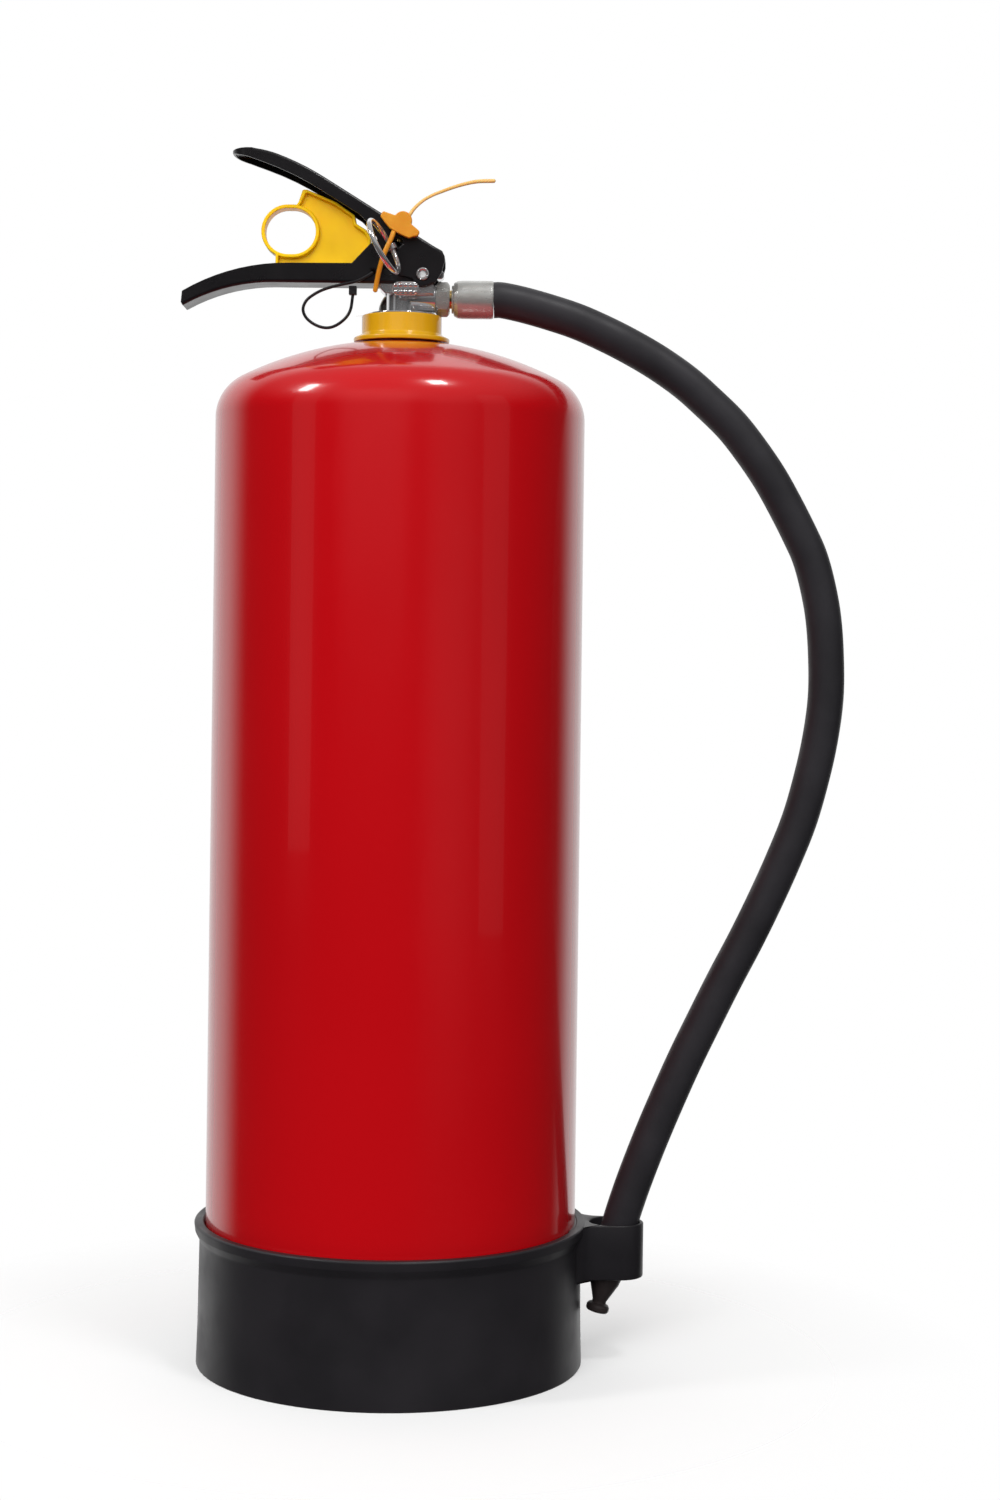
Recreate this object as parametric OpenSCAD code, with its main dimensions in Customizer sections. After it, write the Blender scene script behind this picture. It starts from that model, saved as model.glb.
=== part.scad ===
// Stored-pressure powder extinguisher with a squeeze-grip valve, a side hose and a base skirt.
// Origin: centre of the base on the floor. +X: hose side. -Y: front. +Z: up.

/* [Cylinder] */
// Outer radius of the steel body
body_r = 90; // [85:1:92]
// Wall thickness of the steel body
body_wall = 1.5; // [1.2:0.1:2]
// Height where the straight wall meets the bottom head
seam_z = 46; // [44:1:50]
// Height where the straight wall meets the shoulder
shoulder_z = 458.4; // [455:0.2:462]
// Crown radius of both domed ends
crown_r = 170; // [165:1:175]
// Knuckle radius of both domed ends
knuckle_r = 22; // [20:1:24]

/* [Base skirt] */
// Outer radius of the skirt wall at the foot
skirt_r = 94; // [93:0.5:95]
// Overall height of the skirt
skirt_h = 69; // [66:1:72]
// Outer radius of the lip at the top of the skirt
skirt_lip_r = 95.5; // [94:0.5:97]
// Height of the lip
skirt_lip_h = 4; // [3:0.5:5]
// Number of ribs that carry the cylinder
rib_count = 12; // [8:1:16]
// Lower edge of the hose holder
holder_z = 42; // [40:1:44]

/* [Neck and valve] */
// Radius of the threaded joint between valve and neck
neck_thread_r = 15; // [14.5:0.1:15.2]
// Outer radius of the collar ring
neck_ring_r = 19.5; // [19:0.1:20]
// Height of the top of the collar ring
neck_top_z = 509.5; // [509:0.1:509.6]
// Height of the hose outlet's axis
outlet_z = 518; // [518:0.1:518.4]
// Half width of the valve's tower between the handle cheeks
tower_half = 9.2; // [9:0.1:9.2]
// Radius of the valve stem in its guide
stem_r = 3; // [2.9:0.05:3]
// Radius of the dip tube
dip_tube_r = 11; // [10.5:0.1:11.5]
// Level of the powder
powder_z = 400; // [380:1:410]

/* [Gauge] */
// Radius of the gauge case
gauge_r = 12; // [11.5:0.1:12]
// Height of the gauge's axis
gauge_z = 515; // [515:0.1:516]

/* [Lever and handle] */
// Half width outside the lever's cheeks
lever_half = 12.5; // [12.4:0.05:12.6]
// Half width outside the handle's cheeks
handle_half = 10.7; // [10.6:0.05:10.7]
// Sheet thickness of the lever and the handle
sheet = 1.5; // [1.4:0.05:1.5]
// Pivot of the lever, X
pivot_x = 10.3; // [10:0.1:10.6]
// Pivot of the lever, Z
pivot_z = 528.7; // [528.5:0.1:529]
// Radius of the pivot rivet
pivot_r = 2.5; // [2.4:0.05:2.6]
// Travel of the lever in degrees
lever_travel = 15; // [12:0.5:15]
// Radius of the safety pin
pin_r = 1.5; // [1.4:0.05:1.5]

/* [Hose] */
// Outer radius of the hose
hose_r = 8.75; // [8.5:0.05:8.75]
// Outer radius of the hose ferrule
ferrule_r = 9.3; // [9.2:0.05:9.5]
// Sides of the swept hose
hose_sides = 12; // [8:1:12]

/* [Hidden] */
$fn = 64;
clear = 0.3;
run_fit = 0.05;

skirt_bore_r = body_r + 0.2;
skirt_taper = 1.6;
rib_inner_r = 72;
rib_h = 23;
rib_thick = 2.5;
holder_root_x = 88;
holder_root_half = 23;
holder_end_x = 112;
holder_end_r = 11.6;
holder_hole_x = [97.2, 121.8];
holder_hole_r = 9.8;

boss_z = [484, 508];
boss_r = 17;
collar_z = 496.4;
collar_flange_r = 23.5;
collar_flange_h = 2.8;
collar_fillet = 1.5;
flange_r = 16.8;
flange_top = 510.5;
stalk_r = 7.5;
tower_x = [-11, 15.5];
tower_z = [519.5, 537];
gallery_r = 4.5;
gallery_top = 522;
seat_z = 503;
chamber_r = 9;
adapter_z = [478, 488];
arm_r = 6.8;
gauge_boss_r = 5.5;
gauge_boss_y = 13;
plug_at = [2.2, 519.6];
plug_r = 2;
plug_y = [-15.6, -13.1, -6.5];
plug_head = [13.2, 7];
plug_head_z = 521.2;
stem_web_z = 546.05;
stem_foot_z = 497.5;
stem_foot_r = 6.5;
stem_low_r = 2.2;
oring_z = [528, 532];

outlet_end = 21.5;
outlet_thread_r = 5.9;
nut_x = [16.6, 24.3];
nut_corner_r = 8.6;
ferrule_x = [24.3, 44.7];
insert_r = 6;
hose_bore_r = 3.5;

gauge_y = [20.5, 30];
gauge_neck_r = 3.5;
dial_y = 25;

lever_slope = 31.6;
lever_rear = [15.4, 542.5];
lever_knee = [-40, 569.2];
lever_lobe_r = 5.8;
lever_tip_x = -83.4;
lever_tip_r = 10.5;
handle_knee = [-62, 524.2];
handle_bend_r = 88.5;
web_end_x = -11.5;
rivet2 = [-7, 529.5];
rivet2_r = 2;
pin_at = [-5, 541];
pin_eye_y = -15.2;
pin_eye_r = 2.75;
pin_eye_h = 2.8;
pin_eye_hole_r = 1.9;
ring_wire_r = 1.3;
ring_mid_r = 13.7;
ring_turn = [0, -27, 0];
ring_yaw = -14;
tie_hole = [-13.8, 529.2];
tie_head_at = [-25.4, -12.9, 518.2];

clip_thick = 2.4;
clip_edge = 1.3;
clip_overlap = 0.1;
clip_rim = 10;
clip_ring = [-54.7, 549.9];
clip_hole_r = 11.2;
clip_ring_r = 13;
clip_oval = 1.2;

seal_at = [-1, -17.9, 551.1];
seal_slope = 27;
seal_thick = 3.8;
seal_dome_r = 4.4;
strand_r = 1.2;
tail_r = 1;
tie_r = 0.75;

nozzle_tip = [101.3, 0, 24.6];
nozzle_lean = 13.94;
nozzle_len = 30;

// Centre line of the hose, from the ferrule to the nozzle
hose_route = [
    [44.7, 0, 518], [49, 0, 518], [59, 0, 516], [72, 0, 512.5], [86, 0, 508], [100, 0, 502],
    [113, 0, 495.5], [126, 0, 488], [139, 0, 479], [150, 0, 469.5], [162, 0, 458],
    [172, 0, 445.5], [181, 0, 432.5], [189, 0, 418.5], [196, 0, 405], [201, 0, 394],
    [205, 0, 380], [208, 0, 364], [209.5, 0, 344.5], [209.5, 0, 325], [207, 0, 305],
    [203, 0, 286], [197.5, 0, 266], [190, 0, 246.5], [181.5, 0, 227], [172, 0, 207],
    [162, 0, 187.5], [152.5, 0, 168], [143, 0, 148], [134.5, 0, 128.5], [126.5, 0, 109],
    [119, 0, 89], [113.4, 0, 72], [110, 0, 59.64], [108.53, 0, 53.72]];

// Centre line of the seal's strand, from the seal body down through the pull ring
strand_route = [
    [-4, -18.6, 547], [-4.7, -19.3, 545.2], [-6, -20.2, 542], [-8, -20.2, 537.5],
    [-9.6, -18.6, 533], [-10.8, -16.8, 528.5], [-11.8, -15.2, 524], [-12.7, -13.8, 519.3]];

// Centre line of the seal's tail
tail_route = [
    [4.2, -17.4, 557], [6.2, -17.2, 559.8], [9.9, -16.8, 563.3], [14, -16.2, 565.9],
    [18.6, -15.6, 568], [27.2, -14.6, 571.3], [35.8, -13.8, 573.5], [45.1, -13, 574.1]];

// Centre line of the nylon tie, from the hole in the handle's cheek to the tie's head
tie_route = [
    [-13.8, -11.8, 529.2], [-18, -12, 526.6], [-22.6, -12.2, 524.6], [-31, -12.3, 522.6],
    [-37.5, -12.3, 520.6], [-42.5, -12.2, 518], [-46, -12, 515], [-47.5, -11.8, 511],
    [-46, -11.6, 507], [-42, -11.4, 503.8], [-37, -11.3, 502.2], [-32.3, -11.2, 503],
    [-27.5, -11.1, 506.4], [-24.6, -11, 511], [-23.5, -11, 518.2]];

// ---- Shared shapes ----

// Points of an arc round a centre
function arc(centre, r, from, to, steps) =
    [for (i = [0 : steps]) let (a = from + (to - from) * i / steps)
        centre + r * [cos(a), sin(a)]];

// Points of a tangent arc that leaves p with a heading and turns by a signed angle
function bend(p, heading, r, turn, steps) =
    [for (i = [1 : steps]) let (a = heading + turn * i / steps, s = turn < 0 ? -r : r)
        p + s * [sin(a) - sin(heading), cos(heading) - cos(a)]];

function last(list) = list[len(list) - 1];
function unit(v) = v / norm(v);

// Outline of a domed end, from the axis to the rim, rising from z = 0 at the rim
function head_line(rim_r, crown, knuckle) =
    let (kc = rim_r - knuckle,
         drop = sqrt(pow(crown - knuckle, 2) - kc * kc),
         split = atan2(drop, kc))
    concat(arc([0, -drop], crown, 90, split, 14), arc([kc, 0], knuckle, split, 0, 7));

// Closed section of a domed end's wall, with a hole round the axis
module head_section(wall, hole_r) {
    difference() {
        polygon(concat(head_line(body_r, crown_r, knuckle_r), [[0, 0]]));
        polygon(concat(head_line(body_r - wall, crown_r - wall, knuckle_r - wall), [[0, -1], [0, 0]]));
        if (hole_r > 0) translate([-1, -10]) square([hole_r + 1, 200]);
    }
}

// Places a child drawn in the XZ plane and gives it a thickness from y0 to y1
module side_plate(y0, y1) {
    translate([0, y1, 0]) rotate([90, 0, 0]) linear_extrude(y1 - y0) children();
}

// A cylinder along Y at (x, z)
module rod_y(x, z, r, y0, y1, facets = 64) {
    translate([x, y1, z]) rotate([90, 0, 0]) cylinder(r = r, h = y1 - y0, $fn = facets);
}

// A cylinder along X at height z
module rod_x(z, r, x0, x1, facets = 64) {
    translate([x0, 0, z]) rotate([0, 90, 0]) cylinder(r = r, h = x1 - x0, $fn = facets);
}

// A cylinder along Z
module rod_z(r, z0, z1) {
    translate([0, 0, z0]) cylinder(r = r, h = z1 - z0);
}

// A tube along Z
module pipe_z(outer, inner, z0, z1) {
    difference() {
        rod_z(outer, z0, z1);
        rod_z(inner, z0 - 1, z1 + 1);
    }
}

// One polyhedron swept along a route; ref is a direction that the route never follows
module sweep(route, r, sides, ref) {
    n = len(route);
    rings = [for (i = [0 : n - 1])
        let (d = unit(route[min(i + 1, n - 1)] - route[max(i - 1, 0)]),
             u = unit(cross(ref, d)),
             v = cross(d, u))
        for (k = [0 : sides - 1])
            route[i] + r * (cos(360 * k / sides) * u + sin(360 * k / sides) * v)];
    walls = [for (i = [0 : n - 2]) for (k = [0 : sides - 1])
        let (a = i * sides + k, b = i * sides + (k + 1) % sides)
        [a, a + sides, b + sides, b]];
    ends = [[for (k = [0 : sides - 1]) k],
            [for (k = [sides - 1 : -1 : 0]) (n - 1) * sides + k]];
    polyhedron(rings, concat(walls, ends), convexity = 10);
}

// ---- Cylinder ----

module cylinder_shell() {
    color([0.75, 0.06, 0.08]) {
        pipe_z(body_r, body_r - body_wall, seam_z, shoulder_z);
        translate([0, 0, shoulder_z]) rotate_extrude($fn = 120) head_section(body_wall, boss_r);
    }
}

module bottom_cap() {
    color([0.7, 0.06, 0.08])
    translate([0, 0, seam_z]) mirror([0, 0, 1])
        rotate_extrude($fn = 120) head_section(body_wall, 0);
}

module neck_boss() {
    color([0.6, 0.6, 0.62]) difference() {
        union() {
            rod_z(boss_r, boss_z[0], boss_z[1]);
            rod_z(boss_r + 4, boss_z[0] + 1, 493);
        }
        rod_z(neck_thread_r, boss_z[0] - 1, boss_z[1] + 1);
        rod_z(flange_r + 0.1, boss_z[1] - 2, boss_z[1] + 1);
    }
}

module neck_ring() {
    inner = boss_r + 0.2;
    fillet_z = collar_z + collar_flange_h;
    color([0.95, 0.7, 0.05]) rotate_extrude($fn = 96) difference() {
        union() {
            translate([inner, collar_z]) square([collar_flange_r - inner, collar_flange_h]);
            translate([inner, collar_z]) square([neck_ring_r - inner, neck_top_z - collar_z]);
            translate([neck_ring_r, fillet_z]) square(collar_fillet);
        }
        translate([neck_ring_r + collar_fillet, fillet_z + collar_fillet])
            circle(r = collar_fillet, $fn = 32);
    }
}

// ---- Base skirt ----

module holder_outline() {
    translate([holder_end_x, 0]) circle(r = holder_end_r);
    polygon([[holder_root_x, -holder_root_half], [holder_end_x, -holder_end_r],
             [holder_end_x, holder_end_r], [holder_root_x, holder_root_half]]);
}

module holder_hole() {
    left = holder_hole_x[0] + holder_hole_r;
    right = holder_hole_x[1] - holder_hole_r;
    translate([left, 0]) circle(r = holder_hole_r);
    translate([right, 0]) circle(r = holder_hole_r);
    translate([left, -holder_hole_r]) square([right - left, 2 * holder_hole_r]);
}

// The skirt's outside as a solid, widest at the foot and at the lip
module skirt_outside() {
    cylinder(r1 = skirt_r, r2 = skirt_r - skirt_taper, h = skirt_h);
    rod_z(skirt_lip_r, skirt_h - skirt_lip_h, skirt_h);
}

module base_skirt() {
    color([0.1, 0.1, 0.11]) difference() {
        skirt_outside();
        rod_z(skirt_bore_r, -1, skirt_h + 1);
    }
}

module skirt_ribs() {
    color([0.12, 0.12, 0.13]) intersection() {
        rod_z(skirt_bore_r, 0, rib_h);
        union() for (i = [0 : rib_count - 1])
            rotate(i * 360 / rib_count) translate([rib_inner_r, -rib_thick / 2, 0])
                cube([skirt_bore_r, rib_thick, rib_h]);
    }
}

module hose_holder() {
    color([0.1, 0.1, 0.11]) difference() {
        translate([0, 0, holder_z]) linear_extrude(skirt_h - 0.5 - holder_z) holder_outline();
        skirt_outside();
        translate([0, 0, holder_z - 1]) linear_extrude(skirt_h) holder_hole();
    }
}

// ---- Valve ----

module valve_body() {
    lug_half = 4.5;
    color([0.8, 0.8, 0.82]) difference() {
        union() {
            rod_z(neck_thread_r, boss_z[0], boss_z[1]);
            rod_z(chamber_r + 3, adapter_z[0] + 4, boss_z[0]);
            rod_z(flange_r, boss_z[1], flange_top);
            rod_z(stalk_r, flange_top, tower_z[0]);
            side_plate(-tower_half, tower_half) polygon([
                [tower_x[0], tower_z[0] + 3], [tower_x[0] + 3, tower_z[0]],
                [tower_x[1], tower_z[0]], [tower_x[1], tower_z[1] - 5],
                [tower_x[1] - 4, tower_z[1]], [tower_x[0] + 2, tower_z[1]],
                [tower_x[0], tower_z[1] - 2]]);
            side_plate(-lug_half, lug_half) polygon([
                [tower_x[1] - 1, 527.4], [19.4, 527.4], [20.4, 528.4], [20.4, 530.6],
                [19.4, 531.6], [tower_x[1] - 1, 531.6]]);
            rod_x(outlet_z, arm_r, 0, nut_x[0]);
            rod_x(outlet_z, outlet_thread_r, nut_x[0], outlet_end);
            rod_y(0, gauge_z, gauge_boss_r, 0, gauge_boss_y);
        }
        rod_z(gallery_r, seat_z - 1, gallery_top);
        rod_z(stem_r + run_fit, gallery_top - 1, tower_z[1] + 1);
        rod_z(chamber_r, adapter_z[0], seat_z);
        rod_x(outlet_z, hose_bore_r, 0, outlet_end + 1);
        rod_y(pivot_x, pivot_z, pivot_r, -20, 20);
        rod_y(rivet2[0], rivet2[1], rivet2_r, -20, 20);
        rod_y(0, gauge_z, 2.5, 9.5, gauge_boss_y + 1);
        translate([0, 10.5, boss_z[0] - 3]) cylinder(r = 1, h = gauge_z - boss_z[0] + 3);
        rod_y(plug_at[0], plug_at[1], plug_r, -tower_half - 1, plug_y[2]);
    }
}

module valve_oring() {
    color([0.08, 0.08, 0.08]) translate([0, 0, 507])
        rotate_extrude() translate([15.95, 0]) circle(r = 0.9, $fn = 24);
}

module port_plug() {
    half = plug_head[1] / 2;
    reach = plug_head[0] / 2 - half;
    color([0.82, 0.82, 0.84]) {
        rod_y(plug_at[0], plug_at[1], plug_r, plug_y[1], plug_y[2]);
        side_plate(plug_y[0], plug_y[1]) translate([plug_at[0], plug_head_z]) {
            for (side = [-1, 1]) translate([side * reach, 0]) circle(r = half);
            translate([-reach, -half]) square([2 * reach, 2 * half]);
        }
    }
}

module valve_stem() {
    color([0.75, 0.6, 0.3]) difference() {
        union() {
            rod_z(stem_r, gallery_top + 0.4, stem_web_z);
            translate([0, 0, stem_web_z]) sphere(r = stem_r);
            rod_z(stem_low_r, stem_foot_z + 1.5, gallery_top + 1);
            rod_z(stem_foot_r, stem_foot_z, stem_foot_z + 1.7);
        }
        for (z = oring_z) pipe_z(stem_r + 1, 1.9, z - 0.7, z + 0.7);
    }
}

module stem_orings() {
    color([0.08, 0.08, 0.08]) for (z = oring_z)
        translate([0, 0, z]) rotate_extrude() translate([2.46, 0]) circle(r = 0.54, $fn = 24);
}

module stem_seal() {
    z0 = stem_foot_z + 1.7;
    color([0.12, 0.1, 0.1]) pipe_z(stem_foot_r, stem_low_r, z0, z0 + 3.4);
}

module stem_spring() {
    turns = 4;
    steps = 16;
    wire = 0.6;
    coil_r = 6;
    z0 = adapter_z[1] + wire + 0.1;
    rise = stem_foot_z - z0 - wire - clear;
    coil = [for (i = [0 : turns * steps]) let (a = 360 * i / steps)
        [coil_r * cos(a), coil_r * sin(a), z0 + rise * i / (turns * steps)]];
    color([0.7, 0.7, 0.72]) sweep(coil, wire, 8, [0, 0, 1]);
}

module dip_tube_adapter() {
    color([0.85, 0.83, 0.78]) difference() {
        union() {
            rod_z(chamber_r, adapter_z[0] + 4, adapter_z[1]);
            rod_z(chamber_r + 3, adapter_z[0], adapter_z[0] + 4);
            rod_z(dip_tube_r - 1.5, adapter_z[0] - 16, adapter_z[0]);
        }
        rod_z(4.8, adapter_z[0] - 17, adapter_z[1] + 1);
    }
}

module dip_tube() {
    color([0.85, 0.85, 0.82]) difference() {
        pipe_z(dip_tube_r, dip_tube_r - 1.5, 20, adapter_z[0]);
        translate([-20, 0, 20]) rotate([0, 20, 0]) translate([0, -20, -20]) cube([60, 40, 20]);
    }
}

module powder_charge() {
    gap = body_wall + 0.2;
    color([0.95, 0.93, 0.8]) difference() {
        union() {
            rod_z(body_r - gap, seam_z, powder_z);
            translate([0, 0, seam_z]) mirror([0, 0, 1]) rotate_extrude($fn = 96)
                polygon(concat(head_line(body_r - gap, crown_r - gap, knuckle_r - gap), [[0, 0]]));
        }
        rod_z(dip_tube_r + 0.1, 18, powder_z + 1);
    }
}

// ---- Gauge ----

module gauge_case() {
    color([0.8, 0.7, 0.4]) difference() {
        union() {
            rod_y(0, gauge_z, gauge_r, gauge_y[0], gauge_y[1]);
            rod_y(0, gauge_z, gauge_neck_r, gauge_boss_y, gauge_y[0]);
            rod_y(0, gauge_z, 2.5, 10, gauge_boss_y);
        }
        rod_y(0, gauge_z, gauge_r - 1, gauge_y[0] + 1, gauge_y[1] + 1);
        rod_y(0, gauge_z, 1, 9, gauge_y[0] + 2);
    }
}

module gauge_bourdon() {
    color([0.75, 0.55, 0.25]) translate([0, 23.2, gauge_z]) rotate([90, 0, 0])
        rotate_extrude(angle = 270, $fn = 48) translate([7.5, 0]) circle(r = 1, $fn = 24);
}

module gauge_dial() {
    color([0.95, 0.95, 0.95]) difference() {
        rod_y(0, gauge_z, gauge_r - 1.1, dial_y, dial_y + 0.5);
        rod_y(0, gauge_z, 0.65, dial_y - 1, dial_y + 1);
    }
}

module gauge_needle() {
    y0 = dial_y + 0.8;
    color([0.1, 0.1, 0.1]) {
        rod_y(0, gauge_z, 0.6, dial_y - 0.8, y0);
        rod_y(0, gauge_z, 1.3, y0, y0 + 0.7);
        side_plate(y0, y0 + 0.5) polygon([
            [-0.7, gauge_z - 2.5], [0.7, gauge_z - 2.5], [0.5, gauge_z + 1], [0, gauge_z + 8.2],
            [-0.5, gauge_z + 1]]);
    }
}

module gauge_lens() {
    color([0.85, 0.9, 0.95, 0.4]) rod_y(0, gauge_z, gauge_r - 1.05, 28.4, 29.6);
}

module gauge_bezel() {
    color([0.85, 0.85, 0.87]) difference() {
        rod_y(0, gauge_z, gauge_r + 0.7, 28, 31);
        rod_y(0, gauge_z, gauge_r, 27, gauge_y[1]);
        rod_y(0, gauge_z, gauge_r - 2, 27, 32);
    }
}

// ---- Lever and handle ----

// Upper edge of the lever, from its rear corner to its tip, moved inwards by d
function lever_top(d) =
    let (h = 180 - lever_slope,
         start = lever_rear + d * [sin(h), -cos(h)] * -1,
         knee = start + 62.7 * [cos(h), sin(h)],
         first = bend(knee, h, 125 - d, 11.6, 5))
    concat([start, knee], first, bend(last(first), h + 11.6, 48 - d, 28, 9));

// Lower edge of the lever's cheeks, from the front of the cheek plate to the tip
function lever_low() = concat(bend(lever_knee, 180 - lever_slope, 139, 12.4, 4),
                              [[-75.5, 585], [-80.5, 586.3], [-84, 587.7]]);

module lever_outline() {
    low = lever_low();
    polygon(concat(
        lever_top(0),
        [for (i = [len(low) - 1 : -1 : 0]) low[i]],
        [lever_knee, [-20.5, 557.2], [-13.5, 550], [-10.6, 541], [-9, 536], [-1, 528]],
        arc([pivot_x, pivot_z], lever_lobe_r, 200, 300, 8),
        [[16.6, 525], [19.4, 529.4], [20.8, 534.8], [20.8, 537.7], [19.6, 540.2]]));
}

// Slot, twice w wide, that lets the lever turn round the safety pin
module pin_slot(w) {
    pivot = [pivot_x, pivot_z];
    arm = pin_at - pivot;
    r = norm(arm);
    a = atan2(arm[1], arm[0]);
    polygon(concat(arc(pivot, r + w, a, a - lever_travel, 8),
                   arc(pivot, r - w, a - lever_travel, a, 8)));
    for (t = [a, a - lever_travel]) translate(pivot + r * [cos(t), sin(t)]) circle(r = w);
}

// Plan of the lever with its rounded tip, as a block that is moved inwards by d
module lever_plan(d) {
    low = [lever_tip_x + lever_tip_r, lever_tip_r - lever_half];
    translate([0, 0, 500]) linear_extrude(110) polygon(concat(
        arc([low[0], -low[1]], lever_tip_r - d, 90, 180, 8),
        arc(low, lever_tip_r - d, 180, 270, 8),
        [[60, d - lever_half], [60, lever_half - d]]));
}

module squeeze_lever() {
    web = lever_top(sheet);
    color([0.08, 0.08, 0.09]) difference() {
        intersection() {
            side_plate(-20, 20) lever_outline();
            lever_plan(0);
        }
        intersection() {
            side_plate(-19, 19) polygon(concat([web[0] + [20, -12.3]], web,
                                               [[-95, 587], [-95, 490], [40, 490]]));
            lever_plan(sheet);
        }
        side_plate(-20, 20) pin_slot(pin_r + clear);
        rod_y(pivot_x, pivot_z, pivot_r + run_fit, -20, 20);
    }
}

module handle_outline() {
    top = [-55, 533.7];
    low = concat([handle_knee], bend(handle_knee, 180, handle_bend_r, 29.2, 9));
    polygon(concat(
        [[16, 524.2], [16, 536], [10, 541], [-5, 545.6], [-12.5, 545.3], [-15.8, 543], [-24.3, 533.9]],
        [top], bend(top, 180, 100, 31, 9), [[-107, 514], [-106.2, 512.4]],
        [for (i = [8 : -1 : 0]) low[i]]));
}

module carry_handle() {
    inner = handle_half - sheet;
    web = handle_knee + [0, sheet];
    bent = bend(web, 180, handle_bend_r + sheet, 28, 9);
    color([0.08, 0.08, 0.09]) difference() {
        side_plate(-handle_half, handle_half) handle_outline();
        side_plate(-inner, inner) polygon(concat(
            [[web_end_x, web[1]], web], bent,
            [last(bent) + [0, 30], [30, 580], [30, 500], [web_end_x, 500]]));
        rod_y(pivot_x, pivot_z, pivot_r, -20, 20);
        rod_y(rivet2[0], rivet2[1], rivet2_r, -20, 20);
        rod_y(pin_at[0], pin_at[1], pin_r + run_fit, -20, 20);
        rod_y(tie_hole[0], tie_hole[1], 1.2, -20, 0);
    }
}

module pivot_rivet() {
    reach = lever_half + 0.9;
    color([0.85, 0.85, 0.87]) difference() {
        union() {
            rod_y(pivot_x, pivot_z, pivot_r, -reach, reach);
            for (y = [-reach, lever_half + 0.3]) rod_y(pivot_x, pivot_z, pivot_r + 0.5, y, y + 0.6);
        }
        rod_y(pivot_x, pivot_z, 1.7, -reach - 1, reach + 1);
    }
}

module handle_rivet() {
    color([0.2, 0.2, 0.2])
        rod_y(rivet2[0], rivet2[1], rivet2_r, -handle_half, handle_half);
}

// ---- Safety pin and ring ----

module safety_pin() {
    far_y = lever_half + 1.5;
    color([0.8, 0.8, 0.82]) translate([pin_at[0], 0, pin_at[1]]) difference() {
        union() {
            translate([0, far_y, 0]) rotate([90, 0, 0])
                cylinder(r = pin_r, h = far_y - pin_eye_y);
            translate([0, pin_eye_y, 0]) rotate(ring_turn)
                cylinder(r = pin_eye_r, h = pin_eye_h, center = true);
        }
        translate([0, pin_eye_y, 0]) rotate(ring_turn)
            cylinder(r = pin_eye_hole_r, h = 10, center = true);
    }
}

module pull_ring() {
    color([0.85, 0.85, 0.87]) translate([pin_at[0], pin_eye_y, pin_at[1]])
        rotate(ring_turn) rotate([0, 0, ring_yaw]) translate([0, -ring_mid_r, 0])
        rotate([0, 90, 0]) rotate_extrude() translate([ring_mid_r, 0])
            circle(r = ring_wire_r, $fn = 32);
}

// ---- Safety clip ----

// Outline of the clip's blade, moved inwards by d
module clip_blade(d) {
    polygon([[-48.9 + 1.2 * d, 570.2 - 1.3 * d], [-46.7 + 0.2 * d, 570.2 - 1.2 * d],
             [-32.6 - 0.5 * d, 564.3 - d], [-23.4 - d, 558 - 0.7 * d], [-22.5 - d, 553.9 - 0.6 * d],
             [-17.5 - 0.8 * d, 550.8 - d], [-15.5 - d, 547 - 0.4 * d], [-15.5 - d, 541.4 + 0.5 * d],
             [-18.4 - d, 536.6 + 0.3 * d], [-20.6 - d, 527 + d], [-61.8 + d, 527 + d],
             [-61.8 + d, 540], [-53 + d, 560.6], [-50.8 + d, 564.4 - 0.3 * d]]);
}

module clip_oval(r) {
    for (s = [-1, 1]) translate(clip_ring + [s * clip_oval, 0]) circle(r = r);
    translate(clip_ring - [clip_oval, r]) square([2 * clip_oval, 2 * r]);
}

module safety_clip() {
    color([0.97, 0.8, 0.05]) difference() {
        union() {
            side_plate(-clip_rim / 2, clip_rim / 2) clip_blade(0);
            side_plate(-clip_rim / 2, clip_rim / 2) clip_oval(clip_ring_r);
        }
        side_plate(-10, 10) clip_oval(clip_hole_r);
        for (s = [0, 1]) mirror([0, s, 0]) side_plate(clip_thick / 2, 10) difference() {
            clip_blade(clip_edge);
            clip_oval(clip_ring_r - clip_overlap);
        }
    }
}

// ---- Tamper seal and tie ----

module tamper_seal() {
    color([0.93, 0.6, 0.15]) translate(seal_at) rotate([0, seal_slope, 0]) {
        side_plate(-seal_thick / 2, seal_thick / 2) polygon([
            [-10.3, 2.1], [-9.6, 2.5], [-3, 3.5], [3, 3.5], [9.2, 2.2], [10.2, 1.6], [10.2, -0.6],
            [8.6, -1.6], [7, -3.4], [2.4, -3.7], [-3.6, -3.5], [-7, -2], [-8.6, -1.2],
            [-10.3, -0.4]]);
        translate([0.4, 0, 2.9]) {
            rotate([90, 0, 0]) cylinder(r = seal_dome_r, h = seal_thick, center = true);
            translate([0, seal_thick / 2, 0]) scale([1, 0.65, 1]) sphere(r = seal_dome_r);
        }
    }
}

module seal_strand() {
    color([0.93, 0.62, 0.18]) sweep(strand_route, strand_r, 8, [0, 1, 0]);
}

module seal_tail() {
    color([0.95, 0.75, 0.35]) sweep(tail_route, tail_r, 8, [0, 1, 0]);
}

module tie_loop() {
    color([0.06, 0.06, 0.06]) sweep(tie_route, tie_r, 8, [0, 1, 0]);
}

module tie_head() {
    color([0.06, 0.06, 0.06]) translate(tie_head_at) cube([3.8, 3.8, 4.4]);
}

// ---- Hose ----

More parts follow.
